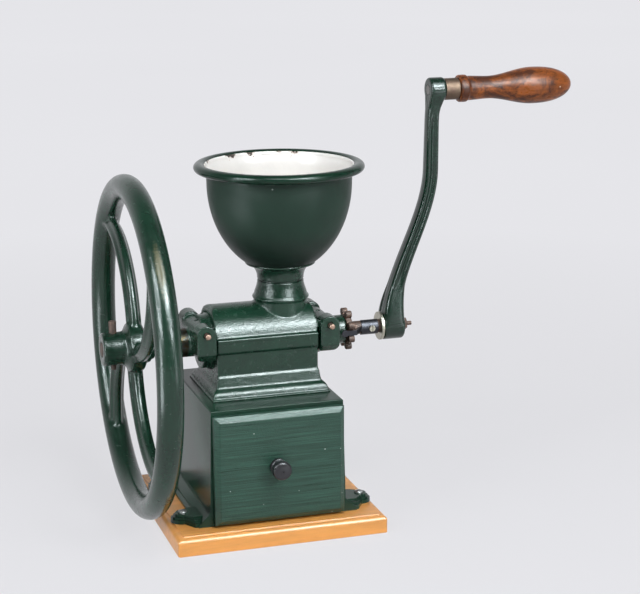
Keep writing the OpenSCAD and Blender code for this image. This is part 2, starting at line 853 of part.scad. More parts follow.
// Running space of the moving burr in its chamber, and between the burrs
burr_clear = 1.5;
grind_gap = 0.6;

// Radial furrows in a burr's face at x, that get shallower from r_in to r_out
module furrows(x, r_in, r_out) {
    len_r = r_out - r_in + eps;
    for (i = [0:burr_teeth - 1])
        translate([x, 0, shaft_z]) rotate([i * 360 / burr_teeth, 0, 0])
            translate([0, r_in, 0]) linear_extrude(furrow_w, center = true)
                polygon([[-furrow_depth, -eps], [furrow_depth, -eps],
                         [furrow_end_depth, len_r], [-furrow_end_depth, len_r]]);
}

fixed_burr_in = 15.5;
fixed_burr_x = burr_seat_x - burr_t;

module fixed_burr() {
    color("#8b8b88")
    difference() {
        rod_x(chamber_r - set_clear, fixed_burr_x, burr_seat_x);
        rod_x(fixed_burr_in, fixed_burr_x - eps, burr_seat_x + eps);
        furrows(fixed_burr_x, fixed_burr_in, chamber_r - burr_clear);
        burr_screw_places(fixed_burr_x - eps) {
            cylinder(r = burr_screw_r + set_clear, h = burr_t + 2 * eps);
            cylinder(r = burr_screw_head_r + set_clear, h = burr_screw_sunk + eps);
        }
    }
}

module burr_screws() {
    color("#77777a")
    burr_screw_places(fixed_burr_x + burr_screw_sunk) {
        cylinder(r = burr_screw_r, h = burr_t - burr_screw_sunk + burr_screw_reach);
        translate([0, 0, -burr_screw_head_h]) cylinder(r = burr_screw_head_r, h = burr_screw_head_h);
    }
}

moving_burr_x1 = fixed_burr_x - grind_gap;
moving_burr_t = 9;
moving_hub_r = 13.5;
moving_hub_len = 8;
moving_burr_x0 = moving_burr_x1 - moving_burr_t;
burr_pin_x = moving_burr_x0 - moving_hub_len / 2;
burr_pin_r = 2;

module moving_burr() {
    color("#8b8b88")
    difference() {
        union() {
            rod_x(chamber_r - burr_clear, moving_burr_x0, moving_burr_x1);
            rod_x(moving_hub_r, moving_burr_x0 - moving_hub_len, moving_burr_x0 + eps);
        }
        rod_x(shaft_r + set_clear, moving_burr_x0 - moving_hub_len - eps, moving_burr_x1 + eps);
        furrows(moving_burr_x1, fixed_burr_in - furrow_w, chamber_r - 2 * burr_clear);
        cross_bore(burr_pin_x, burr_pin_r, moving_hub_r);
    }
}

module burr_pin() {
    color("#77777a") cross_pin(burr_pin_x, burr_pin_r, moving_hub_r);
}

// Auger: core and helical flight, with a plain end for its pin
auger_x0 = moving_burr_x1 + grind_gap;
auger_x1 = bridge_x_right - bridge_gap - bridge_spigot - 2 * turn_gap;
auger_core_r = 10.2;
auger_flight_clear = 1.2;
auger_flight_r = feed_r - auger_flight_clear;
auger_end = 9;
auger_flight_x0 = burr_seat_x + burr_clear;
auger_flight_x1 = auger_x1 - auger_end;
auger_turns = 2.25;
auger_pin_x = auger_x1 - auger_end / 2;
auger_pin_r = 1.6;

// One helical flight, swept as a closed skin of rings about the shaft's axis
module flight() {
    steps = 60;
    half_t = 1.7;
    r0 = auger_core_r - 1;
    pitch_len = auger_flight_x1 - auger_flight_x0 - 2 * half_t;
    tip_t = half_t * 0.6;
    section = [[-half_t, r0], [half_t, r0], [tip_t, auger_flight_r], [-tip_t, auger_flight_r]];
    points = [
        for (i = [0:steps])
            let (a = 360 * auger_turns * i / steps)
            let (x = auger_flight_x0 + half_t + pitch_len * i / steps)
            for (p = section) [x + p[0], p[1] * cos(a), p[1] * sin(a)]
    ];
    sides = [
        for (i = [0:steps - 1], k = [0:3]) let (a = 4 * i + k, b = 4 * i + (k + 1) % 4)
            each [[a, b + 4, b], [a, a + 4, b + 4]]
    ];
    end = 4 * steps;
    translate([0, 0, shaft_z])
        polyhedron(points, concat([[0, 1, 2, 3]], sides, [[end + 3, end + 2, end + 1, end]]));
}

module feed_auger() {
    color("#7d7a74")
    difference() {
        union() {
            rod_x(auger_core_r, auger_x0, auger_x1);
            flight();
        }
        rod_x(shaft_r + set_clear, auger_x0 - eps, auger_x1 + eps);
        cross_bore(auger_pin_x, auger_pin_r, auger_core_r);
    }
}

module auger_pin() {
    color("#77777a") cross_pin(auger_pin_x, auger_pin_r, auger_core_r);
}

// Shaft and flywheel

// Square end for the crank, sunk a little inside it, and the threaded stub for its nut
square_end = 9;
square_sunk = 2;
stub_r = 2.2;
stub_len = 11;
// Taper pin of the flywheel, and how far it stands out of the hub above and below
wheel_pin_x = hub_x0 + 12;
wheel_pin_top_r = 4;
wheel_pin_low_r = 2.6;
wheel_pin_up = hub_r + 12;
wheel_pin_down = hub_r + 5;
// Screw of the leaf spring, and how deep it reaches into the shaft
detent_screw_x = washer_x - 9.5;
detent_screw_r = 1.8;
detent_screw_gap = 1;

// Taper pin driven down through hub and shaft, grown by a clearance for its bore
module wheel_taper(clear) {
    translate([wheel_pin_x, 0, shaft_z - wheel_pin_down])
        cylinder(r1 = wheel_pin_low_r + clear, r2 = wheel_pin_top_r + clear,
                 h = wheel_pin_up + wheel_pin_down);
}

module main_shaft() {
    color("#7c5a45")
    difference() {
        union() {
            rod_x(shaft_r, hub_x0, washer_x);
            translate([washer_x - eps, -square_end / 2, shaft_z - square_end / 2])
                cube([crank_x1 - washer_x - square_sunk + eps, square_end, square_end]);
            rod_x(stub_r, crank_x1 - square_sunk - eps, crank_x1 + stub_len);
        }
        wheel_taper(set_clear);
        cross_bore(burr_pin_x, burr_pin_r, shaft_r);
        cross_bore(auger_pin_x, auger_pin_r, shaft_r);
        translate([detent_screw_x, 0, shaft_z]) rotate([90, 0, 0])
            cylinder(r = detent_screw_r + set_clear, h = shaft_r + eps);
    }
}

// Section of a spoke: a rounded flange in the wheel's plane with a rounded rib on both sides
module spoke_section() {
    flange = spoke_t / 2;
    rib = spoke_t * 0.42;
    square([spoke_w - spoke_t, spoke_t], center = true);
    for (s = [-1, 1]) translate([s * (spoke_w / 2 - flange), 0]) circle(flange);
    square([2 * rib, spoke_rib - 2 * rib], center = true);
    for (s = [-1, 1]) translate([0, s * (spoke_rib / 2 - rib)]) circle(rib);
}

// The flywheel lies in the plane of Y and Z. Each spoke is an arc that passes the axis at spoke_offset
// and bends round to the rim.
module flywheel() {
    spoke_offset = 3;
    centre = spoke_bend - spoke_offset;
    squares = wheel_r * wheel_r - centre * centre - spoke_bend * spoke_bend;
    rim_angle = acos(squares / (2 * centre * spoke_bend));
    color(enamel_green)
    difference() {
        union() {
            translate([wheel_x, 0, shaft_z]) rotate([90, 0, 90]) {
                rotate_extrude() translate([wheel_r, 0]) circle(rim_r);
                for (i = [0:spokes - 1])
                    rotate(i * 360 / spokes) translate([centre, 0, 0]) rotate(rim_angle)
                        rotate_extrude(angle = 180 - rim_angle) translate([spoke_bend, 0]) spoke_section();
            }
            turned_x() hub_section();
        }
        rod_x(shaft_r + set_clear, hub_x0 - eps, hub_x1 + eps);
        wheel_taper(set_clear);
    }
}

// Half section of the hub, radius against x: it swells in a fillet towards the spokes
module hub_section() {
    fillet = 6;
    inner_step = 3;
    near = spoke_rib / 2;
    far = near + fillet;
    polygon(concat(
        [[0, hub_x0], [hub_r, hub_x0]],
        quarter(hub_r, wheel_x - far, hub_r + fillet, wheel_x - near, 0, 5),
        quarter(hub_r + fillet, wheel_x + near, hub_r, wheel_x + far, 1, 5),
        [[hub_r - inner_step, wheel_x + far], [hub_r - inner_step, hub_x1], [0, hub_x1]]));
}

module flywheel_pin() {
    color("#7a4a35") wheel_taper(0);
}

// Grind setting

// Star nut on the shaft's thread, with a notch between two lobes facing the front
module star_nut() {
    core_r = lobe_ring_r - lobe_r * 0.75;
    hub_r = core_r * 0.62;
    hub_len = 2.5;
    color("#7a4a35")
    difference() {
        union() {
            rod_x(core_r, star_x, star_x + star_t);
            rod_x(hub_r, star_x, star_x + star_t + hub_len);
            for (i = [0:lobes - 1])
                translate([star_x, 0, shaft_z]) rotate([(i + 0.5) * 360 / lobes, 0, 0])
                    translate([0, lobe_ring_r, 0]) rotate([0, 90, 0]) cylinder(r = lobe_r, h = star_t);
        }
        rod_x(shaft_r + run_clear, star_x - eps, star_x + star_t + hub_len + eps);
    }
}

// Leaf spring: a saddle on the shaft, from which a finger bends out through a notch of the star nut
// to a round tip
module detent_spring() {
    bend_len = 12;
    end_gap = 2;
    saddle_x0 = star_x + star_t + bend_len;
    saddle_x1 = washer_x - end_gap;
    wrap = 80;
    r0 = shaft_r + seat_gap;
    root_in = r0 + leaf_t * 0.15;
    root_out = r0 + leaf_t * 0.55;
    finger_w = 5.2;
    out = lobe_ring_r + 1;
    bend_x0 = star_x + star_t + leaf_t / 2;
    bend_x1 = saddle_x0 - 2 * leaf_t;
    slant = leaf_t * 1.2;
    tip_r = finger_w * 0.7;
    tip_x = star_x - tip_r - turn_gap;
    tip_proud = 0.1;
    color("#17181b")
    difference() {
        union() {
            translate([saddle_x0, 0, shaft_z]) rotate([0, 90, 0]) rotate(-90 - wrap)
                rotate_extrude(angle = 2 * wrap) translate([r0, 0]) square([leaf_t, saddle_x1 - saddle_x0]);
            translate([0, 0, shaft_z - finger_w / 2]) linear_extrude(finger_w)
                polygon([[saddle_x0 + 1, -root_in], [saddle_x0 + 1, -root_out],
                         [bend_x1 + slant, -root_out - leaf_t / 2], [bend_x0 + slant, -out - leaf_t],
                         [tip_x, -out - leaf_t], [tip_x, -out], [bend_x0, -out], [bend_x1, -root_in]]);
            translate([tip_x, tip_proud - out, shaft_z]) rotate([90, 0, 0])
                cylinder(r = tip_r, h = leaf_t + 2 * tip_proud);
        }
        translate([detent_screw_x, 0, shaft_z]) rotate([90, 0, 0])
            cylinder(r = detent_screw_r + set_clear, h = shaft_r + leaf_t + eps);
    }
}

module detent_screw() {
    head_r = 3.3;
    head_h = 2.2;
    slot = 1;
    seat = shaft_r + seat_gap + leaf_t;
    color("#c9c7b8")
    translate([detent_screw_x, 0, shaft_z]) rotate([90, 0, 0]) {
        translate([0, 0, detent_screw_gap]) cylinder(r = detent_screw_r, h = seat - detent_screw_gap + eps);
        translate([0, 0, seat]) difference() {
            cylinder(r = head_r, h = head_h);
            translate([-slot / 2, -head_r - eps, head_h - slot])
                cube([slot, 2 * head_r + 2 * eps, slot + eps]);
        }
    }
}

// Crank

boss_round = 2.5;
nut_r = 6.4;
nut_h = 5;

module crank_washer() {
    color("#b9b7aa")
    difference() {
        rod_x(crank_boss_r, washer_x, crank_x);
        rod_x(square_end / sqrt(2) + set_clear, washer_x - eps, crank_x + eps);
    }
}

// Half section of a crank boss of radius r from a to b, with rounded edges
module boss_section(r, a, b) {
    translate([0, a]) square([r - boss_round, b - a]);
    translate([0, a + boss_round]) square([r, b - a - 2 * boss_round]);
    for (x = [a + boss_round, b - boss_round]) translate([r - boss_round, x]) circle(boss_round);
}

// How far the arm has flared into the lower boss, and into the upper one, at a height above the lower axis
function in_low_boss(h) = 1 - smooth(h / arm_flare);
function in_top_boss(h) = 1 - smooth((crank_r - h) / top_flare);

// Middle of the arm along X at that height: a swan neck
function arm_mid(h) =
    crank_x + crank_boss_w / 2
    + crank_offset * smooth((h - neck_start) / neck_rise)
    + arm_lean * h / crank_r
    + top_boss_shift * in_top_boss(h);

// A size of the arm that changes from low to high along it, and flares to its size inside each boss
function arm_size(h, low, high, boss_low, boss_high) =
    let (plain = low + (high - low) * h / crank_r)
    plain + (boss_low - plain) * in_low_boss(h) + (boss_high - plain) * in_top_boss(h);

// Depth of the channel at that height: it fades out towards both bosses, from these shares of the flares on
channel_low = 0.1;
channel_high = 0.5;
function channel_depth(h) =
    arm_channel * smooth(h / arm_flare - channel_low) * smooth((crank_r - h) / top_flare - channel_high);

// Half of the arm's rounded section, as [share of the half width, share of the half depth]
arm_round = 3;
arm_across = [-1, -0.93, -0.78, -0.6, -0.4, -0.2, 0, 0.2, 0.4, 0.6, 0.78, 0.93, 1];
channel_share = 0.62;
function arm_edge(u) = pow(1 - pow(abs(u), arm_round), 1 / arm_round);

// One ring of the arm's skin at that height; it stays a little inside both bosses
function arm_ring(h) =
    let (side_in = 0.4, front_in = 2)
    let (w = arm_size(h, arm_w_low / 2, arm_w_high / 2, crank_boss_w / 2 - side_in, top_boss_w / 2 - side_in))
    let (d = arm_size(h, arm_d_low / 2, arm_d_high / 2, crank_boss_r - front_in, top_boss_r - front_in))
    let (x = arm_mid(h), c = channel_depth(h), n = len(arm_across) - 1)
    let (y = [for (u = arm_across) d * arm_edge(u) - c * (1 - smooth(abs(u) / channel_share))])
    concat([for (i = [0:n]) [x + w * arm_across[i], -y[i], shaft_z + h]],
           [for (i = [n - 1:-1:1]) [x + w * arm_across[i], y[i], shaft_z + h]]);

// The arm as a closed skin of rings
module arm_skin() {
    steps = 30;
    n = 2 * len(arm_across) - 2;
    points = [for (i = [0:steps]) each arm_ring(crank_r * i / steps)];
    sides = [
        for (i = [0:steps - 1], k = [0:n - 1]) let (a = n * i + k, b = n * i + (k + 1) % n)
            each [[a, b + n, b], [a, a + n, b + n]]
    ];
    end = n * steps;
    polyhedron(points, concat([[for (k = [0:n - 1]) k]], sides, [[for (k = [n - 1:-1:0]) end + k]]));
}

module crank_arm() {
    color(enamel_green)
    difference() {
        union() {
            turned_x() boss_section(crank_boss_r, crank_x, crank_x1);
            translate([0, 0, crank_r]) turned_x() boss_section(top_boss_r, top_boss_x, top_boss_x1);
            arm_skin();
        }
        translate([crank_x - eps, -square_end / 2 - set_clear, shaft_z - square_end / 2 - set_clear])
            cube([crank_boss_w + 2 * eps, square_end + 2 * set_clear, square_end + 2 * set_clear]);
        translate([top_boss_x - eps, 0, crank_z]) rotate([0, 90, 0])
            cylinder(r = grip_pin_r + set_clear, h = top_boss_w + 2 * eps);
    }
}

module crank_nut() {
    color("#7a4a35")
    difference() {
        translate([crank_x1, 0, shaft_z]) rotate([0, 90, 0]) cylinder(r = nut_r, h = nut_h, $fn = 6);
        rod_x(stub_r + set_clear, crank_x1 - eps, crank_x1 + nut_h + eps);
    }
}

// Grip

grip_pin_r = 5;
grip_pin_len = grip_len * 0.72;

module grip_spindle() {
    color("#6d5a4c")
    translate([top_boss_x, 0, crank_z]) rotate([0, 90, 0])
        cylinder(r = grip_pin_r, h = top_boss_w + ferrule_len + grip_pin_len);
}

module grip_ferrule() {
    color("#6f5b4d")
    translate([top_boss_x1, 0, crank_z]) rotate([0, 90, 0])
    difference() {
        cylinder(r = ferrule_r, h = ferrule_len);
        translate([0, 0, -eps]) cylinder(r = grip_pin_r + set_clear, h = ferrule_len + 2 * eps);
    }
}

// Shares of the grip's length behind its collar where its waist and its belly lie
grip_waist_at = 0.2;
grip_belly_at = 0.62;
// How far the collar stands proud of the grip behind it
grip_collar_step = 1.4;

// Radius of the grip at a share u of its length, behind its collar: a waist, a belly and a round end
function grip_radius(u) =
    let (neck_r = grip_collar_r - grip_collar_step)
    let (swell = (u - grip_waist_at) / (grip_belly_at - grip_waist_at))
    let (tail = (u - grip_belly_at) / (1 - grip_belly_at))
    u < grip_waist_at ? neck_r + (grip_waist_r - neck_r) * smooth(u / grip_waist_at)
    : u < grip_belly_at ? grip_waist_r + (grip_r - grip_waist_r) * smooth(swell)
    : grip_r * sqrt(max(0, 1 - pow(tail, 2.4)));

module wooden_grip() {
    collar_len = 10;
    collar_edge = 1.2;
    collar_bow = 3;
    body_len = grip_len - turn_gap - collar_len;
    steps = 40;
    color("#8a4f22")
    translate([grip_x + turn_gap, 0, crank_z]) rotate([0, 90, 0])
    difference() {
        rotate_extrude() {
            polygon(concat(
                [[0, 0]],
                quarter(grip_collar_r - collar_edge, 0, grip_collar_r, collar_bow, 1, 4),
                quarter(grip_collar_r, collar_len - collar_bow,
                        grip_collar_r - grip_collar_step, collar_len, 0, 4),
                [for (i = [0:steps]) let (u = i / steps) [grip_radius(u), collar_len + body_len * u]]));
        }
        translate([0, 0, -eps]) cylinder(r = grip_pin_r + run_clear, h = grip_pin_len + eps);
    }
}

base_board();
body_casing();
lug_screws();
drawer_front();
drawer_tray();
drawer_knob();
knob_screw();
mill_head();
head_bolts();
hopper_collar();
hopper_bowl();
bearing_bridge_left();
bearing_bridge_right();
bridge_pins_left();
bridge_pins_right();
bush_left();
bush_right();
fixed_burr();
burr_screws();
main_shaft();
moving_burr();
burr_pin();
feed_auger();
auger_pin();
flywheel();
flywheel_pin();
star_nut();
detent_spring();
detent_screw();
crank_washer();
crank_arm();
crank_nut();
grip_spindle();
grip_ferrule();
wooden_grip();
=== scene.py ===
"""Dresses the solids of a hand-cranked coffee mill in paint, wood and steel, and lights them."""
import json
import math

import bmesh
import bpy
from bpy.props import FloatProperty, FloatVectorProperty, IntProperty, PointerProperty
from mathutils import Matrix, Vector


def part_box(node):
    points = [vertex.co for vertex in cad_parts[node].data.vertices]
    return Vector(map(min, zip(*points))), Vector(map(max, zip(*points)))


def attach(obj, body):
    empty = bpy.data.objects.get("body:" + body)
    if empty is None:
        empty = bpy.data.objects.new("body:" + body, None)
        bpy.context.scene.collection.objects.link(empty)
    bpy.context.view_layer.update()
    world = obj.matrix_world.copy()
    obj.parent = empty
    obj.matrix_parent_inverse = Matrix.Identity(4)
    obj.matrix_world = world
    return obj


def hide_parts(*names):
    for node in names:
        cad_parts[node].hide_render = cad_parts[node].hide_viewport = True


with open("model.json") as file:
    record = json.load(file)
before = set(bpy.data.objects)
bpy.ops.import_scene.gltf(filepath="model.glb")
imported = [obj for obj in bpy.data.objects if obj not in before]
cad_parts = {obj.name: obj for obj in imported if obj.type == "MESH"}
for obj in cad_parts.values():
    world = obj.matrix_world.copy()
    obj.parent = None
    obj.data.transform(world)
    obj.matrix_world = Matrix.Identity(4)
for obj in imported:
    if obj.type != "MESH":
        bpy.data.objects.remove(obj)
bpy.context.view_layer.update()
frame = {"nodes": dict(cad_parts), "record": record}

bl_info = {
    "name": "Hand-cranked Coffee Mill",
    "version": (1, 0, 0),
    "blender": (4, 5, 0),
    "location": "View3D > Sidebar > Mill",
    "description": "Dresses the solids of a coffee mill and sets up its studio",
    "category": "Object",
}

MM = 0.001


def middle(node):
    """Middle of a CAD node's box."""
    low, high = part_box(node)
    return (low + high) / 2


SHAFT = middle("bush_left")
GRIP = middle("grip_ferrule")
HOPPER = middle("hopper_bowl")
RIM_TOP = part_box("hopper_bowl")[1].z
BOARD_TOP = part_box("base_board")[1].z
# The plane of the flywheel's rim
WHEEL_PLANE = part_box("flywheel")[0].x + 34 * MM
BODY_OF = {node: body for body, nodes in frame["record"]["behaviour"]["bodies"].items()
           for node in nodes}


def srgb(red, green, blue):
    """A colour as it looks on a screen, 0 to 255, in the linear values that Blender stores."""
    return tuple(((v / 255 + 0.055) / 1.055) ** 2.4 if v > 10 else v / 255 / 12.92
                 for v in (red, green, blue))


def shade(colour, factor):
    """The same colour, darker or lighter."""
    return tuple(min(1.0, v * factor) for v in colour[:3])


def soft(share):
    """A share from 0 to 1 that starts and ends slowly."""
    share = min(max(share, 0), 1)
    return share * share * (3 - 2 * share)


def colour_prop(label, tells, value):
    return FloatVectorProperty(name=label, description=tells, default=value, subtype="COLOR",
                               size=3, min=0, max=1)


def number_prop(label, tells, value, **more):
    return FloatProperty(name=label, description=tells, default=value, **more)


def length_prop(label, tells, value):
    return number_prop(label, tells, value, subtype="DISTANCE", unit="LENGTH", min=0)


def angle_prop(label, tells, degrees):
    return number_prop(label, tells, math.radians(degrees), subtype="ANGLE")


def count_prop(label, tells, value, least, most):
    return IntProperty(name=label, description=tells, default=value, min=least, max=most)


class MillSizes(bpy.types.PropertyGroup):
    """Sizes of the dressed pieces."""
    wheel_rim: length_prop("Rim Thickness", "Radius of the flywheel's round rim", 13 * MM)
    spokes: count_prop("Spokes", "Number of curved spokes", 4, 3, 8)
    spoke_bend: length_prop("Spoke Bend", "Radius of a spoke's curve", 108 * MM)
    spoke_pass: length_prop("Spoke Pass", "How far a spoke's curve passes beside the axis", 3 * MM)
    spoke_width: length_prop("Spoke Width", "Width of a spoke's flange", 19 * MM)
    spoke_flange: length_prop("Spoke Flange", "Thickness of a spoke's flange", 9 * MM)
    spoke_rib: length_prop("Spoke Rib", "Depth of the rib over both sides of a spoke", 16 * MM)
    bowl_foot: length_prop("Bowl Foot", "Radius of the bowl's lower edge", 36.4 * MM)
    bowl_round: length_prop("Bowl Round", "Height of the half ellipse behind the bowl's round",
                            95 * MM)
    bowl_wall: length_prop("Bowl Wall", "Thickness of the bowl's sheet", 2 * MM)
    rim_half_width: length_prop("Rim Width", "Half width of the bowl's rolled rim", 6.2 * MM)
    rim_half_height: length_prop("Rim Height", "Half height of the bowl's rolled rim", 4.8 * MM)
    lining_edge: number_prop("Lining Edge", "Angle round the rolled rim where the lining ends", 142)
    lobes: count_prop("Lobes", "Number of lobes on the star nut", 8, 4, 12)
    lobe_radius: length_prop("Lobe Radius", "Radius of one lobe of the star nut", 3.9 * MM)
    lobe_ring: length_prop("Lobe Ring", "Radius of the circle of lobes", 18.4 * MM)
    cast_ease: length_prop("Cast Edge", "Mesh size that softens the castings", 1.1 * MM)


class MillFinish(bpy.types.PropertyGroup):
    """Colours and surfaces of the finishes."""
    enamel: colour_prop("Enamel", "Green paint on the castings", srgb(22, 56, 41))
    bowl: colour_prop("Bowl Enamel", "Green enamel outside the bowl", srgb(13, 44, 31))
    lining: colour_prop("Lining", "White enamel inside the bowl", srgb(246, 246, 245))
    front: colour_prop("Drawer Paint", "Green paint on the drawer front", srgb(36, 71, 58))
    board: colour_prop("Board", "Varnished wood of the board", srgb(232, 161, 80))
    grip: colour_prop("Grip", "Varnished wood of the grip", srgb(140, 77, 34))
    knob: colour_prop("Knob", "Blackened wood of the knob", srgb(30, 29, 34))
    rust: colour_prop("Rust", "Rusty steel", srgb(80, 59, 48))
    pebble: number_prop("Pebble", "Depth of the cast skin under the paint", 1.0, min=0)
    gloss: number_prop("Paint Roughness", "Roughness of the green paint", 0.2, min=0, max=1)


class MillStudio(bpy.types.PropertyGroup):
    """Camera and light."""
    turn: angle_prop("Turn", "Camera's angle round the mill", -17.457)
    lift: angle_prop("Lift", "Camera's angle above the table", 13.917)
    roll: angle_prop("Roll", "Camera's tilt about its own axis", -0.338)
    distance: length_prop("Distance", "Camera's distance from the point it looks at", 1.9083)
    target: FloatVectorProperty(name="Target", description="Point that the camera looks at",
                                subtype="XYZ", unit="LENGTH", default=(0.0716, 0.0, 0.2289))
    lens: number_prop("Lens", "Focal length in millimetres on a 36 mm wide sensor", 102.36)
    backdrop: colour_prop("Backdrop", "Pale floor and background", srgb(230, 230, 234))
    fill: number_prop("Fill", "Strength of the light from all round", 0.23, min=0)
    key: number_prop("Overhead Light", "Power of the softbox overhead", 14.5, unit="POWER")
    strip: number_prop("Front Lights", "Power of each softbox in front", 16.5, unit="POWER")
    sheen: number_prop("Sheen", "Brightness of the softboxes in gloss", 36, min=0)


def sizes():
    return bpy.context.scene.mill_sizes


def finishes():
    return bpy.context.scene.mill_finish


class Layout:
    """A node tree while it is laid out."""

    def __init__(self, tree):
        self.nodes, self.links = tree.nodes, tree.links

    def put(self, socket, value):
        """Links a socket or sets its value; a colour gets its fourth number."""
        if isinstance(value, bpy.types.NodeSocket):
            self.links.new(value, socket)
        elif hasattr(value, "__len__") and len(value) == 3 and len(socket.default_value) == 4:
            socket.default_value = (*value, 1)
        else:
            socket.default_value = value

    def fill(self, node, sockets):
        """Puts values into a node's sockets by name, with _ for a space."""
        for key, value in sockets.items():
            self.put(node.inputs[key.replace("_", " ")], value)

    def add(self, kind, settings=None, **sockets):
        node = self.nodes.new(kind)
        for key, value in (settings or {}).items():
            setattr(node, key, value)
        self.fill(node, sockets)
        return node

    def math(self, operation, first, second=0.0):
        node = self.add("ShaderNodeMath", {"operation": operation})
        self.put(node.inputs[0], first)
        self.put(node.inputs[1], second)
        return node.outputs["Value"]

    def times(self, first, second):
        return self.math("MULTIPLY", first, second)

    def span(self, value, low, high, to_low=0.0, to_high=1.0):
        """A value from one range in another, held at its ends."""
        node = self.add("ShaderNodeMapRange", Value=value, From_Min=low, From_Max=high,
                        To_Min=to_low, To_Max=to_high)
        return node.outputs["Result"]

    def mix(self, share, first, second):
        """One colour over another."""
        node = self.add("ShaderNodeMix", {"data_type": "RGBA"})
        for number, value in ((0, share), (6, first), (7, second)):
            self.put(node.inputs[number], value)
        return node.outputs[2]

    def blend(self, share, first, second):
        """One shader over another."""
        node = self.add("ShaderNodeMixShader")
        for number, value in enumerate((share, first, second)):
            self.put(node.inputs[number], value)
        return node.outputs["Shader"]


class Finish(Layout):
    """A material while its nodes are laid out."""

    def __init__(self, name):
        self.material = bpy.data.materials.new(name)
        self.material.use_nodes = True
        super().__init__(self.material.node_tree)
        self.nodes.clear()
        self.shader = self.add("ShaderNodeBsdfPrincipled")
        self.result = self.add("ShaderNodeOutputMaterial", Surface=self.shader.outputs["BSDF"])
        self.place = self.add("ShaderNodeTexCoord").outputs["Object"]

    def set(self, **sockets):
        """Sets or links sockets of the shader itself."""
        self.fill(self.shader, sockets)

    def stretch(self, scale, turn=(0, 0, 0)):
        """Object coordinates, scaled and turned."""
        node = self.add("ShaderNodeMapping", Vector=self.place, Scale=scale, Rotation=turn)
        return node.outputs["Vector"]

    def noise(self, scale, detail=4, rough=0.55, place=None, bend=0):
        node = self.add("ShaderNodeTexNoise", Vector=place or self.place, Scale=scale,
                        Detail=detail,
                        Roughness=rough, Distortion=bend)
        return node.outputs["Fac"]

    def specks(self, scale, size, share):
        """Small round specks, kept on a share of the cells of a Voronoi pattern."""
        cells = self.add("ShaderNodeTexVoronoi", Vector=self.place, Scale=scale)
        near = self.span(cells.outputs["Distance"], size, size * 0.6)
        chance = self.add("ShaderNodeSeparateColor", Color=cells.outputs["Color"]).outputs["Red"]
        return self.times(near, self.span(chance, share, share * 0.98))

    def ramp(self, value, *stops):
        node = self.add("ShaderNodeValToRGB", Fac=value)
        elements = node.color_ramp.elements
        elements[0].position, elements[1].position = stops[0][0], stops[-1][0]
        elements[0].color, elements[1].color = (*stops[0][1], 1), (*stops[-1][1], 1)
        for at, colour in stops[1:-1]:
            elements.new(at).color = (*colour, 1)
        return node.outputs["Color"]

    def tones(self, value, colour, *stops):
        """A ramp of shades of one colour, each given by its place and its brightness."""
        return self.ramp(value, *((at, shade(colour, factor)) for at, factor in stops))

    def bump(self, height, depth, under=None):
        node = self.add("ShaderNodeBump", Height=height, Distance=depth, Strength=1.0)
        if under:
            self.put(node.inputs["Normal"], under)
        return node.outputs["Normal"]

    def part(self, axis):
        """One object coordinate."""
        return self.add("ShaderNodeSeparateXYZ", Vector=self.place).outputs[axis]

    def near(self, point, reach):
        """1 at a point, falling to 0 at a distance from it."""
        node = self.add("ShaderNodeVectorMath", {"operation": "DISTANCE"})
        self.put(node.inputs[0], self.place)
        node.inputs[1].default_value = point
        return self.span(node.outputs["Value"], reach, 0.0)


class Room(Layout):
    """The world while its nodes are laid out."""

    def __init__(self, name):
        self.world = bpy.data.worlds.new(name)
        self.world.use_nodes = True
        super().__init__(self.world.node_tree)
        self.nodes.clear()


FINISHES, LAYOUTS = {}, {}


def finish(name):
    """A finish by name, laid out the first time it is asked for."""
    if name not in FINISHES:
        FINISHES[name] = steel(name, *STEELS[name]) if name in STEELS else LAYOUTS[name](name)
    return FINISHES[name]


def laid_out(paint):
    """Turns a function that paints a finish into one that makes its material, kept by its name."""
    def make(name, *values):
        f = Finish(name)
        paint(f, *values)
        return f.material
    LAYOUTS[paint.__name__] = make
    return make


@laid_out
def painted_iron(f, colour, pebble, rough, worn_at=None, shine=0.5):
    """Brushed green enamel over cast iron: blotches, pebbled skin, chips and pale specks."""
    blotch = f.noise(26, 5, 0.6)
    brush = f.noise(150, 3)
    skin = f.noise(700, 1.0, 0.5)
    vary = min(1.0, 2 * pebble)
    tone = f.tones(blotch, colour, (0.3, 0.8), (0.52, 1), (0.75, 1.3))
    chips = f.times(f.span(f.noise(330, 2), 0.76, 0.775), f.span(blotch, 0.5, 0.62))
    tone = f.mix(chips, tone, srgb(112, 98, 66))
    tone = f.mix(f.times(f.specks(60, 0.05, 0.03), 0.7), tone, srgb(190, 198, 196))
    if worn_at:
        beside = f.math("ABSOLUTE", f.math("SUBTRACT", f.part("X"), worn_at[0]))
        worn = f.times(f.near(worn_at, 0.04), f.span(beside, 0.001, 0.006, 1.0, 0.0))
        worn = f.span(f.math("ADD", worn, f.noise(420, 4, 0.7)), 0.72, 1.2)
        tone = f.mix(f.times(worn, 0.5), tone, srgb(128, 120, 84))
    f.set(Base_Color=tone, Specular_IOR_Level=shine,
          Roughness=f.span(brush, 0.3, 0.7, rough - 0.06 * vary, rough + 0.1 * vary))
    uneven = f.bump(brush, 0.00014 * pebble)
    f.set(Normal=f.bump(skin, 0.00025 * pebble, uneven))


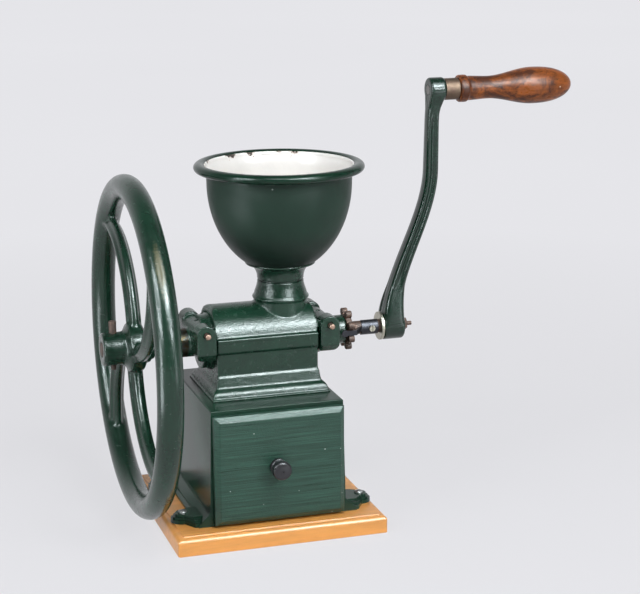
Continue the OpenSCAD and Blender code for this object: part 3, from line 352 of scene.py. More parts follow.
@laid_out
def bowl_green(f):
    """Smooth enamel on sheet iron, a little duller than the castings, with painted shade towards
    the foot.
    """
    colour = finishes().bowl
    blotch = f.noise(18, 4)
    tone = f.tones(blotch, colour, (0.3, 0.85), (0.5, 1), (0.72, 1.22))
    scuff = f.noise(70, 4, 0.6)
    height = f.part("Z")
    # Darker towards the foot: painted shade under the bowl's round.
    foot = f.span(height, RIM_TOP - 0.06, RIM_TOP - 0.105, 0.0, 0.85)
    tone = f.mix(foot, tone, shade(colour, 0.2))
    tone = f.mix(f.times(f.specks(60, 0.06, 0.1), 0.5), tone, srgb(170, 180, 176))
    dull = f.span(height, RIM_TOP - 0.014, RIM_TOP - 0.008, 0.24, 0.0)
    f.set(Base_Color=tone, Roughness=f.math("ADD", dull, f.span(scuff, 0.3, 0.7, 0.18, 0.24)),
          Specular_IOR_Level=0.28)
    f.set(Normal=f.bump(f.noise(45, 2), 0.0004, f.bump(f.noise(500, 2), 0.00003)))


@laid_out
def white_lining(f):
    """White enamel with chips along the rim, down to dark iron with a rusty edge."""
    colour = finishes().lining
    low = f.part("Z")
    at_rim = f.span(low, RIM_TOP - 0.013, RIM_TOP - 0.003, 0.0, 0.32)
    ragged = f.noise(84, 5, 0.6)
    chipped = f.near((HOPPER.x - 0.03, HOPPER.y + 0.08, RIM_TOP), 0.1)
    bare = f.math("ADD", ragged, f.times(at_rim, f.span(chipped, 0.0, 0.5, 0.62, 1.0)))
    tone = f.tones(f.noise(30, 4), colour, (0.35, 0.95), (0.7, 1))
    tone = f.mix(f.span(low, RIM_TOP - 0.024, RIM_TOP - 0.05, 0.0, 0.7), tone, srgb(196, 176, 150))
    stain = f.span(bare, 0.82, 0.86)
    tone = f.mix(f.times(stain, 0.6), tone, srgb(176, 140, 110))
    gone = f.span(bare, 0.86, 0.875)
    iron = f.ramp(f.noise(300, 4), (0.35, srgb(30, 29, 28)), (0.65, srgb(72, 56, 46)))
    tone = f.mix(gone, tone, iron)
    tone = f.mix(f.specks(48, 0.05, 0.16), tone, srgb(88, 74, 66))
    f.set(Base_Color=tone, Roughness=f.span(gone, 0, 1, 0.22, 0.7), Specular_IOR_Level=0.3)
    f.set(Normal=f.bump(gone, -0.0004, f.bump(f.noise(70, 3), 0.0004)))


@laid_out
def painted_wood(f):
    """Brushed paint on the drawer front: level brush lines over grain, and a few pale chips."""
    colour = finishes().front
    lines = f.noise(1, 5, 0.7, f.stretch((14, 90, 900)))
    broad = f.noise(1, 3, 0.5, f.stretch((7, 30, 130)))
    tone = f.tones(lines, colour, (0.34, 0.62), (0.5, 1), (0.64, 1.55))
    tone = f.mix(f.span(broad, 0.35, 0.7, 0.0, 0.15), tone, shade(colour, 1.2))
    flecks = f.times(f.specks(110, 0.08, 0.3), f.span(broad, 0.3, 0.6, 0.2, 0.9))
    tone = f.mix(flecks, tone, srgb(196, 206, 202))
    f.set(Base_Color=tone, Roughness=f.span(lines, 0.3, 0.7, 0.26, 0.4), Specular_IOR_Level=0.42)
    f.set(Normal=f.bump(lines, 0.00034, f.bump(f.noise(420, 2), 0.00016)))


@laid_out
def board_wood(f):
    """Light varnished board with grain along its length."""
    colour = finishes().board
    grain = f.noise(1, 6, 0.6, f.stretch((7, 75, 75)), 0.4)
    pores = f.noise(1, 4, 0.65, f.stretch((45, 900, 900)))
    tone = f.tones(grain, colour, (0.32, 0.86), (0.5, 1), (0.7, 1.12))
    tone = f.mix(f.span(pores, 0.6, 0.72, 0.0, 0.35), tone, shade(colour, 0.55))
    f.set(Base_Color=tone, Roughness=f.span(pores, 0.3, 0.7, 0.32, 0.44),
          Coat_Weight=0.15, Coat_Roughness=0.15)
    f.set(Normal=f.bump(pores, 0.00008, f.bump(grain, 0.0003)))


@laid_out
def tray_wood(f):
    """Bare planed wood of the drawer's box, browned by coffee."""
    grain = f.noise(1, 6, 0.6, f.stretch((6, 8, 110)), 0.5)
    tone = f.ramp(grain, (0.3, srgb(140, 102, 64)), (0.52, srgb(178, 138, 92)),
                  (0.75, srgb(196, 158, 110)))
    low = f.span(f.part("Z"), BOARD_TOP + 0.03, BOARD_TOP, 0.0, 0.55)
    tone = f.mix(f.times(low, f.noise(30, 4)), tone, srgb(74, 46, 28))
    f.set(Base_Color=tone, Roughness=f.span(grain, 0.3, 0.7, 0.5, 0.68))
    f.set(Normal=f.bump(grain, 0.0003))


@laid_out
def grip_wood(f):
    """Old varnish on turned wood: orange where it is worn, dark stains, grain along the grip, and
    painted glints as white specks.
    """
    colour = finishes().grip
    grain = f.noise(1, 6, 0.65, f.stretch((35, 190, 190)), 0.3)
    patch = f.noise(1, 6, 0.72, f.stretch((30, 44, 44)), 0.7)
    tone = f.tones(grain, colour, (0.3, 0.66), (0.5, 1), (0.72, 1.4))
    tone = f.mix(f.span(patch, 0.45, 0.57, 0.0, 0.9), tone, srgb(66, 36, 24))
    dots = f.span(f.noise(1, 5, 0.75, f.stretch((170, 230, 230))), 0.56, 0.64, 0.0, 0.85)
    tone = f.mix(f.times(dots, f.span(patch, 0.38, 0.5)), tone, srgb(38, 22, 16))
    # Near-white specks: painted glints on the varnish.
    tone = f.mix(f.specks(90, 0.09, 0.2), tone, srgb(236, 226, 208))
    f.set(Base_Color=tone, Roughness=f.span(patch, 0.35, 0.7, 0.26, 0.38), Specular_IOR_Level=0.22)
    f.set(Normal=f.bump(grain, 0.00022, f.bump(patch, 0.0004)))


@laid_out
def black_wood(f):
    """Blackened turned wood with faint tool rings."""
    colour = finishes().knob
    rings = f.noise(1, 4, 0.6, f.stretch((60, 1500, 60)))
    tone = f.tones(rings, colour, (0.3, 0.7), (0.7, 1.4))
    tone = f.mix(f.specks(160, 0.08, 0.1), tone, srgb(150, 96, 66))
    f.set(Base_Color=tone, Roughness=f.span(rings, 0.3, 0.7, 0.26, 0.4),
          Coat_Weight=0.1, Coat_Roughness=0.2)
    f.set(Normal=f.bump(rings, 0.00012))


@laid_out
def rusty_steel(f):
    """Brown rust over steel, with darker pits and brighter rubbed spots."""
    colour = finishes().rust
    patch = f.noise(150, 6, 0.68)
    pits = f.noise(900, 4, 0.7)
    tone = f.ramp(patch, (0.3, shade(colour, 0.45)), (0.5, tuple(colour)),
                  (0.66, shade(colour, 1.5)),
                  (0.8, srgb(150, 140, 132)))
    f.set(Base_Color=tone, Metallic=f.span(patch, 0.55, 0.75, 0.2, 0.7),
          Roughness=f.span(pits, 0.3, 0.7, 0.42, 0.75))
    f.set(Normal=f.bump(pits, 0.0002, f.bump(patch, 0.0003)))


@laid_out
def steel(f, colour, rough, spot=None, spot_share=0.66):
    """Plain or plated steel with fine scratches, and rust spots where it has them."""
    colour = srgb(*colour)
    scratch = f.noise(1, 4, 0.7, f.stretch((1400, 220, 220)))
    cloud = f.noise(130, 5, 0.6)
    tone = f.tones(cloud, colour, (0.3, 0.78), (0.55, 1), (0.75, 1.12))
    bright = 1.0
    if spot:
        rusty = f.span(f.noise(230, 5, 0.7), spot_share, spot_share + 0.07)
        tone = f.mix(rusty, tone, srgb(*spot))
        bright = f.span(rusty, 0, 1, 1.0, 0.3)
    f.set(Base_Color=tone, Metallic=bright,
          Roughness=f.span(scratch, 0.3, 0.7, rough - 0.07, rough + 0.12))
    f.set(Normal=f.bump(scratch, 0.00003, f.bump(cloud, 0.0001)))


def iron(pebble, painted_shade_factor=1.0, dull=0.0, worn_at=None, shine=0.5):
    """Painted iron: its share of the cast skin, a darkening of the enamel as painted shade, and
    added roughness.
    """
    def make(name):
        own = finishes()
        return painted_iron(name, shade(own.enamel, painted_shade_factor), pebble * own.pebble, own.gloss + dull,
                            worn_at, shine)
    return make


# Where hands have worn the wheel's rim
RIM_WORN = (WHEEL_PLANE - 1 * MM, SHAFT.y - 137 * MM, SHAFT.z + 110 * MM)
LAYOUTS.update(
    painted_casting=iron(1.0),
    painted_casing=iron(0.05, dull=0.04, shine=0.26),
    painted_bridge=iron(0.3, dull=0.04),
    # The wheel and the crank take darker copies of the same enamel: painted shade.
    painted_wheel=iron(0.45, painted_shade_factor=0.86, worn_at=RIM_WORN),
    painted_crank=iron(0.25, painted_shade_factor=0.62, shine=0.55),
)
# Colour, roughness, and for spotted steel the spots' colour and where they start
STEELS = {
    "rubbed_steel": ((166, 138, 122), 0.4, (112, 80, 64), 0.6),
    "zinc_steel": ((160, 160, 158), 0.4, (112, 76, 58), 0.6),
    "nickel_steel": ((178, 174, 160), 0.32, (140, 124, 94), 0.74),
    "blue_steel": ((62, 62, 66), 0.36, (74, 58, 50), 0.7),
    "boss_bronze": ((58, 50, 34), 0.3, (24, 30, 24), 0.46),
    "plain_steel": ((128, 126, 122), 0.4),
    "brown_steel": ((98, 82, 70), 0.5, (84, 58, 44), 0.56),
    "bush_brass": ((188, 150, 82), 0.3, (120, 92, 52), 0.64),
    "burr_iron": ((112, 110, 106), 0.5, (92, 66, 50), 0.66),
}


def linked(name, data):
    """A new object in the scene."""
    obj = bpy.data.objects.new(name, data)
    bpy.context.scene.collection.objects.link(obj)
    return obj


def evaluated(obj):
    """The mesh that an object's modifiers make of it."""
    graph = bpy.context.evaluated_depsgraph_get()
    return bpy.data.meshes.new_from_object(obj.evaluated_get(graph))


def made(bm, name):
    """The plain mesh of a BMesh that is finished."""
    mesh = bpy.data.meshes.new(name)
    bm.to_mesh(mesh)
    bm.free()
    return mesh


def skin(bm, rings):
    """Faces between rings that stand one above the other, with as many corners each."""
    faces = []
    for below, above in zip(rings, rings[1:]):
        for i in range(len(below)):
            j = (i + 1) % len(below)
            faces.append(bm.faces.new((below[i], below[j], above[j], above[i])))
    return faces


def merged_copy(node):
    """A copy of a CAD node's mesh with its loose triangles joined and its flat faces made whole."""
    bm = bmesh.new()
    bm.from_mesh(frame["nodes"][node].data)
    bmesh.ops.transform(bm, matrix=frame["nodes"][node].matrix_world, verts=bm.verts)
    bmesh.ops.remove_doubles(bm, verts=bm.verts, dist=2e-6)
    angle = math.radians(0.4)
    bmesh.ops.dissolve_limit(bm, angle_limit=angle, verts=bm.verts, edges=bm.edges)
    return made(bm, node)


def worked(mesh, *steps):
    """The mesh that a list of modifiers makes, each given as its type and its settings."""
    obj = linked("work", mesh)
    for kind, settings in steps:
        modifier = obj.modifiers.new(kind, kind)
        for key, value in settings.items():
            setattr(modifier, key, value)
    shaped = evaluated(obj)
    bpy.data.objects.remove(obj)
    bpy.data.meshes.remove(mesh)
    return shaped


def cast_skin(mesh, grain, rounds):
    """Soft edges of a painted casting: an even skin of small faces, relaxed a few times."""
    return worked(mesh, ("REMESH", {"mode": "VOXEL", "voxel_size": grain}),
                  ("SMOOTH", {"factor": 0.5, "iterations": rounds}))


def eased(mesh, width, segments=2, least=38, crisp=None):
    """Eased edges of worked wood or steel; edges between the angles crisp and least stay sharp."""
    if not mesh.has_custom_normals:
        mesh.shade_smooth()
    if crisp:
        mesh.set_sharp_from_angle(angle=math.radians(crisp))
    return worked(mesh, ("BEVEL", {"width": width, "segments": segments, "limit_method": "ANGLE",
                                   "angle_limit": math.radians(least), "use_clamp_overlap": True}),
                  ("WEIGHTED_NORMAL", {"weight": 50, "keep_sharp": True}))


def piece(name, mesh, slot, nodes, *looks, crease=None):
    """A finished piece: it rides with the nodes it stands for, in their finish."""
    obj = linked(name, mesh)
    mesh.name = name
    if not mesh.has_custom_normals:
        mesh.shade_smooth()
        if crease:
            mesh.set_sharp_from_angle(angle=math.radians(crease))
    for number, look in enumerate(looks):
        if number == len(mesh.materials):
            mesh.materials.append(None)
        mesh.materials[number] = finish(look)
    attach(obj, BODY_OF[nodes[0]])
    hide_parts(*nodes)
    return obj


def turned(profile, axis, origin, around=96, closed=False, marks=None):
    """A mesh of (radius, height) pairs spun about an axis, with a material number for each band."""
    axis = Vector(axis)
    side = axis.orthogonal().normalized()
    other = axis.cross(side)
    bm = bmesh.new()
    rings = []
    for radius, height in profile:
        spot = origin + axis * height
        if radius < 1e-6:
            rings.append([bm.verts.new(spot)])
            continue
        turns = [2 * math.pi * i / around for i in range(around)]
        rings.append([bm.verts.new(spot + (side * math.cos(a) + other * math.sin(a)) * radius)
                      for a in turns])
    pairs = list(zip(rings, rings[1:])) + ([(rings[-1], rings[0])] if closed else [])
    for band, (low, high) in enumerate(pairs):
        for i in range(around):
            j = (i + 1) % around
            corners = (low[i % len(low)], low[j % len(low)], high[j % len(high)],
                       high[i % len(high)])
            face = bm.faces.new(list(dict.fromkeys(corners)))
            if marks:
                face.material_index = marks[band]
    bmesh.ops.recalc_face_normals(bm, faces=bm.faces)
    return made(bm, "turned")


def arc(x, y, radius, start, end, steps):
    """Points on an arc, in degrees."""
    angles = [math.radians(start + (end - start) * i / steps) for i in range(steps + 1)]
    return [(x + radius * math.cos(a), y + radius * math.sin(a)) for a in angles]


class Recipe(Layout):
    """A Geometry Nodes tree while it is laid out, with the values of its named inputs."""

    def __init__(self, name):
        self.tree = bpy.data.node_groups.new(name, "GeometryNodeTree")
        super().__init__(self.tree)
        self.tree.interface.new_socket("Geometry", in_out="OUTPUT",
                                       socket_type="NodeSocketGeometry")
        self.source = self.nodes.new("NodeGroupInput")
        self.values = {}

    def given(self, name, value, kind="NodeSocketFloat"):
        """A named input and its value."""
        socket = self.tree.interface.new_socket(name, in_out="INPUT", socket_type=kind)
        self.values[socket.identifier] = value
        return self.source.outputs[name]

    def points(self):
        """The geometry that the tree is used on."""
        self.tree.interface.new_socket("Points", in_out="INPUT", socket_type="NodeSocketGeometry")
        return self.source.outputs["Points"]

    def vector(self, **parts):
        return self.add("ShaderNodeCombineXYZ", **parts).outputs["Vector"]

    def turn(self, angle):
        """A turn about the Z axis."""
        euler = self.vector(Z=angle)
        return self.add("FunctionNodeEulerToRotation", Euler=euler).outputs["Rotation"]

    def join(self, *parts):
        node = self.nodes.new("GeometryNodeJoinGeometry")
        for part in reversed(parts):
            self.links.new(part, node.inputs["Geometry"])
        return node.outputs["Geometry"]

    def sweep(self, path, profile):
        node = self.add("GeometryNodeCurveToMesh", Curve=path, Profile_Curve=profile,
                        Fill_Caps=True)
        return node.outputs["Mesh"]

    def ring(self, radius, resolution):
        node = self.add("GeometryNodeCurvePrimitiveCircle", Resolution=resolution, Radius=radius)
        return node.outputs["Curve"]

    def bar(self, width, height, round_share):
        """A rounded rectangle as a section to sweep."""
        node = self.add("GeometryNodeCurvePrimitiveQuadrilateral", Width=width, Height=height)
        least = self.math("MINIMUM", width, height)
        node = self.add("GeometryNodeFilletCurve", Curve=node.outputs["Curve"],
                        Radius=self.times(least, round_share))
        node.mode = "POLY"
        node.inputs["Count"].default_value = 6
        return node.outputs["Curve"]

    def around(self, shape, count):
        """Copies of a shape set evenly round the Z axis."""
        points = self.add("GeometryNodePoints", Count=count).outputs["Points"]
        index = self.add("GeometryNodeInputIndex").outputs["Index"]
        angle = self.math("DIVIDE", self.times(index, 2 * math.pi), count)
        node = self.add("GeometryNodeInstanceOnPoints", Points=points, Instance=shape,
                        Rotation=self.turn(angle))
        return node.outputs["Instances"]

    def moved(self, shape, **sockets):
        return self.add("GeometryNodeTransform", Geometry=shape, **sockets).outputs["Geometry"]

    def cylinder(self, radius, depth, vertices=96):
        node = self.add("GeometryNodeMeshCylinder", Vertices=vertices, Radius=radius, Depth=depth)
        return node.outputs["Mesh"]

    def mesh(self, shape, look, points=()):
        """The finished tree's result as a plain mesh."""
        real = self.add("GeometryNodeRealizeInstances", Geometry=shape).outputs["Geometry"]
        done = self.add("GeometryNodeSetMaterial", Geometry=real, Material=finish(look))
        self.add("NodeGroupOutput", Geometry=done.outputs["Geometry"])
        base = bpy.data.meshes.new("points")
        base.from_pydata([tuple(p) for p in points], [], [])
        obj = linked("work", base)
        modifier = obj.modifiers.new("Recipe", "NODES")
        modifier.node_group = self.tree
        for identifier, value in self.values.items():
            modifier[identifier] = value
        result = evaluated(obj)
        bpy.data.objects.remove(obj)
        return result


def along_shaft(x):
    """Turns a shape drawn about Z so that it lies about the shaft, at a place along it."""
    return Matrix(((0, 0, 1, x), (1, 0, 0, SHAFT.y), (0, 1, 0, SHAFT.z), (0, 0, 0, 1)))


class MILL_OT_casing(bpy.types.Operator):
    """Cast casing with its lugs"""
    bl_idname = "mill.casing"
    bl_label = "Casing"

    def execute(self, context):
        mesh = merged_copy("body_casing")
        self.mark_shelf(mesh)
        shelf_round = 2.4 * MM
        mesh = worked(mesh,
                      ("BEVEL", {"width": shelf_round, "segments": 6, "limit_method": "WEIGHT"}))
        mesh = eased(mesh, sizes().cast_ease, 3, crisp=20)
        piece("casing", mesh, "green_enamel", ["body_casing"], "painted_casing", crease=40)
        return {"FINISHED"}

    def mark_shelf(self, mesh):
        """Marks the outer edges of the casing's top, which are well rounded."""
        near = 0.2 * MM
        level = max(v.co.z for v in mesh.vertices) - near
        rim = [v.co for v in mesh.vertices if v.co.z > level]
        low_x, high_x = min(c.x for c in rim), max(c.x for c in rim)
        low_y, high_y = min(c.y for c in rim), max(c.y for c in rim)
        weights = mesh.attributes.new("bevel_weight_edge", "FLOAT", "EDGE")
        for edge in mesh.edges:
            a, b = (mesh.vertices[i].co for i in edge.vertices)
            on_top = min(a.z, b.z) > level
            side = any(abs(a[k] - limit) + abs(b[k] - limit) < 2 * near
                       for k, limit in ((0, low_x), (0, high_x), (1, low_y), (1, high_y)))
            weights.data[edge.index].value = 1.0 if on_top and side else 0.0


class MILL_OT_head(bpy.types.Operator):
    """Barrel, tower, neck and moulded foot"""
    bl_idname = "mill.head"
    bl_label = "Mill Head"

    def execute(self, context):
        mesh = cast_skin(merged_copy("mill_head"), sizes().cast_ease, 2)
        self.true_arch(mesh)
        piece("head", mesh, "green_enamel", ["mill_head"], "painted_casting")
        return {"FINISHED"}

    def true_arch(self, mesh):
        """Brings the arch back to its own round where the pinned tongues come through it."""
        start, end, radius, slack = -50.2 * MM, 58.2 * MM, 37.5 * MM, 0.5 * MM
        aside, above = (26 * MM, 36 * MM), (11 * MM, 25 * MM)
        for vertex in mesh.vertices:
            x, y, z = vertex.co
            up = z - SHAFT.z
            reach = math.hypot(y, up)
            inside = start < x < end and aside[0] < abs(y) < aside[1] and above[0] < up < above[1]
            if inside and reach > radius - slack:
                vertex.co = (x, y * radius / reach, SHAFT.z + up * radius / reach)


# Left of here the boss of the left bridge is bare metal
BOSS_BARE = -73.5 * MM


class MILL_OT_bridges(bpy.types.Operator):
    """Bearing bridges at both ends of the barrel"""
    bl_idname = "mill.bridges"
    bl_label = "Bearing Bridges"

    def execute(self, context):
        for side in ("left", "right"):
            node = "bearing_bridge_" + side
            mesh = cast_skin(merged_copy(node), 0.75 * sizes().cast_ease, 4)
            looks = ("painted_bridge", "boss_bronze") if side == "left" else ("painted_bridge",)
            mesh.materials.clear()
            for _ in looks:
                mesh.materials.append(None)
            for face in mesh.polygons:
                face.material_index = 1 if face.center.x < BOSS_BARE else 0
            piece("bridge_" + side, mesh, "green_enamel", [node], *looks)
        return {"FINISHED"}


# The arm's middle line: the lower boss behind the arm's left side, the throw, how far and over what
# height the swan neck moves out, the arm's lean, and the shift just below the upper boss
CRANK_BOSS, CRANK_THROW = 11.65 * MM, 248.8 * MM
NECK_OUT, NECK_START, NECK_RISE = 40.9 * MM, 10 * MM, 155 * MM
ARM_LEAN, TIP_SHIFT, TIP_RISE = 0.016, 3.5 * MM, 30 * MM
# Blends into the bosses: start, rise, and the half widths and half depths at both ends
CRANK_BLENDS = (
    (0, 70 * MM, (11.5 * MM, 7.4 * MM), (14.9 * MM, 5.6 * MM)),
    (CRANK_THROW, -34 * MM, (8.3 * MM, 6.4 * MM), (12.7 * MM, 4.1 * MM)),
)


class MILL_OT_crank(bpy.types.Operator):
    """Swan-necked crank arm"""
    bl_idname = "mill.crank"
    bl_label = "Crank Arm"

    def execute(self, context):
        mesh = merged_copy("crank_arm")
        for values in CRANK_BLENDS:
            self.blend(mesh, *values)
        mesh = cast_skin(mesh, 0.55 * sizes().cast_ease, 9)
        piece("crank", mesh, "green_enamel", ["crank_arm"], "painted_crank")
        return {"FINISHED"}

    def blend(self, mesh, start, rise, wide, deep, steps=14, around=24):
        """Adds two solids to the arm's mesh that carry its front and back smoothly into a boss."""
        boss_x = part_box("crank_arm")[0].x + CRANK_BOSS
        square, rounder, sunk = 0.32, 0.35, 0.1 * MM
        turns = [math.pi * k / around for k in range(around + 1)]
        bm = bmesh.new()
        bm.from_mesh(mesh)
        for side in (-1, 1):
            rings = []
            for i in range(steps + 1):
                up = start + rise * i / steps
                share = soft(i / steps)
                half, front = (a + (b - a) * share for a, b in (wide, deep))
                x = boss_x + NECK_OUT * soft((up - NECK_START) / NECK_RISE) + ARM_LEAN * up
                x += TIP_SHIFT * (1 - soft((CRANK_THROW - up) / TIP_RISE))
                power = square + rounder * share
                ring = [(math.copysign(abs(math.cos(a)) ** power, math.cos(a)),
                         max(math.sin(a), 0) ** power) for a in turns]
                rings.append([bm.verts.new((x + half * c, side * max(deep[1] - sunk, front * s),
                                            SHAFT.z + up)) for c, s in ring])
            faces = [bm.faces.new(rings[0]), bm.faces.new(rings[-1])] + skin(bm, rings)
            bmesh.ops.recalc_face_normals(bm, faces=faces)
        bm.to_mesh(mesh)
        bm.free()


# Rings of the hub: inner and outer radius, where each starts at both, and where each ends
BORE = 7.2 * MM
HUB_STEPS = (
    (BORE, 17 * MM, (-34 * MM, -34 * MM), (15 * MM, 15 * MM)),
    (BORE, 14 * MM, (10 * MM, 10 * MM), (19.5 * MM, 19.5 * MM)),
    (9 * MM, 25 * MM, (-15 * MM, -7 * MM), (15 * MM, 7 * MM)),
)


class MILL_OT_flywheel(bpy.types.Operator):
    """Flywheel: a swept rim, curved ribbed spokes and a bored hub"""
    bl_idname = "mill.flywheel"
    bl_label = "Flywheel"

    def execute(self, context):
        s = sizes()
        low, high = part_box("flywheel")
        recipe = Recipe("Flywheel")
        rim = recipe.given("Rim Thickness", s.wheel_rim)
        pitch = recipe.given("Rim Radius", (high.z - low.z) / 2 - s.wheel_rim)
        count = recipe.given("Spokes", s.spokes, "NodeSocketInt")
        spoke = self.spoke(recipe, s, pitch)
        tyre = recipe.sweep(recipe.ring(pitch, 220), recipe.ring(rim, 40))
        whole = recipe.join(tyre, recipe.around(spoke, count), *self.hub(recipe))
        mesh = recipe.mesh(whole, "painted_wheel")
        mesh.transform(along_shaft(WHEEL_PLANE))
        mesh = cast_skin(mesh, 1.25 * s.cast_ease, 8)
        piece("wheel", mesh, "green_enamel", ["flywheel"], "painted_wheel")
        return {"FINISHED"}

    def spoke(self, recipe, s, pitch):
        """One spoke: a flange and a rib swept along an arc from the rim to the hub."""
        bend = recipe.given("Spoke Bend", s.spoke_bend)
        aside = recipe.given("Spoke Pass", s.spoke_pass)
        width = recipe.given("Spoke Width", s.spoke_width)
        flange = recipe.given("Spoke Flange", s.spoke_flange)
        rib = recipe.given("Spoke Rib", s.spoke_rib)
        centre = recipe.math("SUBTRACT", bend, aside)
        # Angle, seen from the middle of a spoke's curve, at which the curve meets the rim
        rest = recipe.math("POWER", pitch, 2)
        for side in (centre, bend):
            rest = recipe.math("SUBTRACT", rest, recipe.math("POWER", side, 2))
        twice = recipe.times(recipe.times(centre, bend), 2)
        meet = recipe.math("ARCCOSINE", recipe.math("DIVIDE", rest, twice))
        bars = []
        # The flange and the rib end this many degrees short of the axis
        for wide, deep, short in ((width, flange, 7), (recipe.times(flange, 0.84), rib, 9)):
            section = recipe.bar(wide, deep, 0.46)
            sweep = recipe.math("SUBTRACT", math.pi - math.radians(short), meet)
            curve = recipe.add("GeometryNodeCurveArc", Resolution=72, Radius=bend,
                               Start_Angle=meet, Sweep_Angle=sweep)
            bars.append(recipe.sweep(self.flared(recipe, curve.outputs["Curve"]), section))
        return recipe.moved(recipe.join(*bars), Translation=recipe.vector(X=centre))

    def hub(self, recipe):
        """Rings with four-cornered sections, swept round a circle of the given radius."""
        path = 12 * MM
        rings = []
        for near, far, start, end in HUB_STEPS:
            quad = recipe.add("GeometryNodeCurvePrimitiveQuadrilateral", {"mode": "POINTS"})
            corners = ((near, start[0]), (far, start[1]), (far, end[1]), (near, end[0]))
            for i, (radius, z) in enumerate(corners):
                quad.inputs["Point %d" % (i + 1)].default_value = (radius - path, -z, 0)
            rings.append(recipe.sweep(recipe.ring(path, 96), quad.outputs["Curve"]))
        return rings

    def flared(self, recipe, curve):
        """The curve, with a radius that grows towards the rim, where it starts, and the hub."""
        along = recipe.add("GeometryNodeSplineParameter").outputs["Factor"]
        rim_end, hub_start = 0.18, 0.74
        at_rim = recipe.math("SUBTRACT", 1.0, recipe.math("DIVIDE", along, rim_end))
        at_hub = recipe.math("DIVIDE", recipe.math("SUBTRACT", along, hub_start), 1 - hub_start)
        grown = []
        for share, growth in ((at_rim, 0.75), (at_hub, 0.85)):
            share = recipe.math("POWER", recipe.math("MAXIMUM", share, 0.0), 2.0)
            grown.append(recipe.times(share, growth))
        radius = recipe.math("ADD", recipe.math("ADD", *grown), 1.0)
        return recipe.add("GeometryNodeSetCurveRadius", Curve=curve, Radius=radius).outputs["Curve"]


class MILL_OT_hopper(bpy.types.Operator):
    """Bowl with a rolled rim and a white lining, and the collar that it sits in"""
    bl_idname = "mill.hopper"
    bl_label = "Hopper"

    def execute(self, context):
        z = sizes()
        low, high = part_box("hopper_bowl")
        wall, roll, tall = z.bowl_wall, z.rim_half_width, z.rim_half_height
        flare, overlap = 1 * MM, wall / 8
        radius = (high.x - low.x) / 2 - 2 * roll - flare + overlap
        base = Vector((HOPPER.x, HOPPER.y, low.z))
        outer = self.curve(radius, z.bowl_round, z.bowl_foot)
        inner = self.curve(radius - wall, z.bowl_round, z.bowl_foot - wall)
        rim_z = high.z - low.z - tall
        rim_r = radius + flare + roll - overlap
        under = [(radius + flare / 3, rim_z - tall), (radius + flare, rim_z - tall * 0.6)]
        # The roll starts and ends at these angles, and its last part is lined
        start, end = -140, 186
        rim = arc(0, 0, 1, start, z.lining_edge, 32)
        lining = arc(0, 0, 1, z.lining_edge, end, 8)[1:]
        rim, lining = ([(rim_r + roll * x, rim_z + tall * y) for x, y in points]
                       for points in (rim, lining))
        lining += [(radius + flare - wall, rim_z - tall * 0.7), (radius - wall, rim_z - 2 * tall)]
        profile = outer + under + rim + lining + inner[::-1]
        green = len(outer) + len(under) + len(rim) - 1
        marks = [0] * green + [1] * (len(profile) - green)
        mesh = turned(profile, (0, 0, 1), base, 180, True, marks)
        piece("bowl", mesh, "bowl_enamel", ["hopper_bowl"], "bowl_green", "white_lining", crease=50)
        self.collar(z, wall)
        return {"FINISHED"}

    def curve(self, across, tall, edge, steps=40):
        """The bowl's round part from its foot up, as half an ellipse."""
        first = math.acos(edge / across)
        angles = [first * (1 - i / steps) for i in range(steps + 1)]
        return [(across * math.cos(t), tall * (math.sin(first) - math.sin(t))) for t in angles]

    def collar(self, z, wall):
        """The flared collar, with a thin lip round the bowl and a spigot in the tower."""
        low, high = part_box("hopper_collar")
        spigot, lip = 9 * MM, 2 * MM
        tall = high.z - low.z - spigot
        waist, throat = 24.2 * MM, 17.5 * MM
        waist_z = 0.1 * tall

        def flare(r0, z0, r1, z1, steps=20):
            turns = [math.radians(90 * i / steps) for i in range(steps + 1)]
            return [(r1 + (r0 - r1) * math.cos(t), z0 + (z1 - z0) * math.sin(t)) for t in turns]

        spigot_r, foot, ease = throat + 2.4 * MM, z.bowl_foot, 0.5 * MM
        profile = [(throat, -spigot), (spigot_r, -spigot), (spigot_r, 0.0), (waist - 1.6 * MM, 0.0),
                   (waist - 1.6 * MM, 1 * MM), (waist - 0.4 * MM, 1.3 * MM)]
        profile += flare(waist, waist_z, foot - ease, tall - lip)
        profile += [(foot, tall - lip + ease), (foot, tall - ease), (foot - ease, tall)]
        profile += flare(throat, waist_z, z.bowl_foot - wall, tall)[::-1]
        mesh = turned(profile, (0, 0, 1), Vector((HOPPER.x, HOPPER.y, low.z + spigot)), 128, True)
        piece("collar", mesh, "green_enamel", ["hopper_collar"], "painted_casting", crease=50)


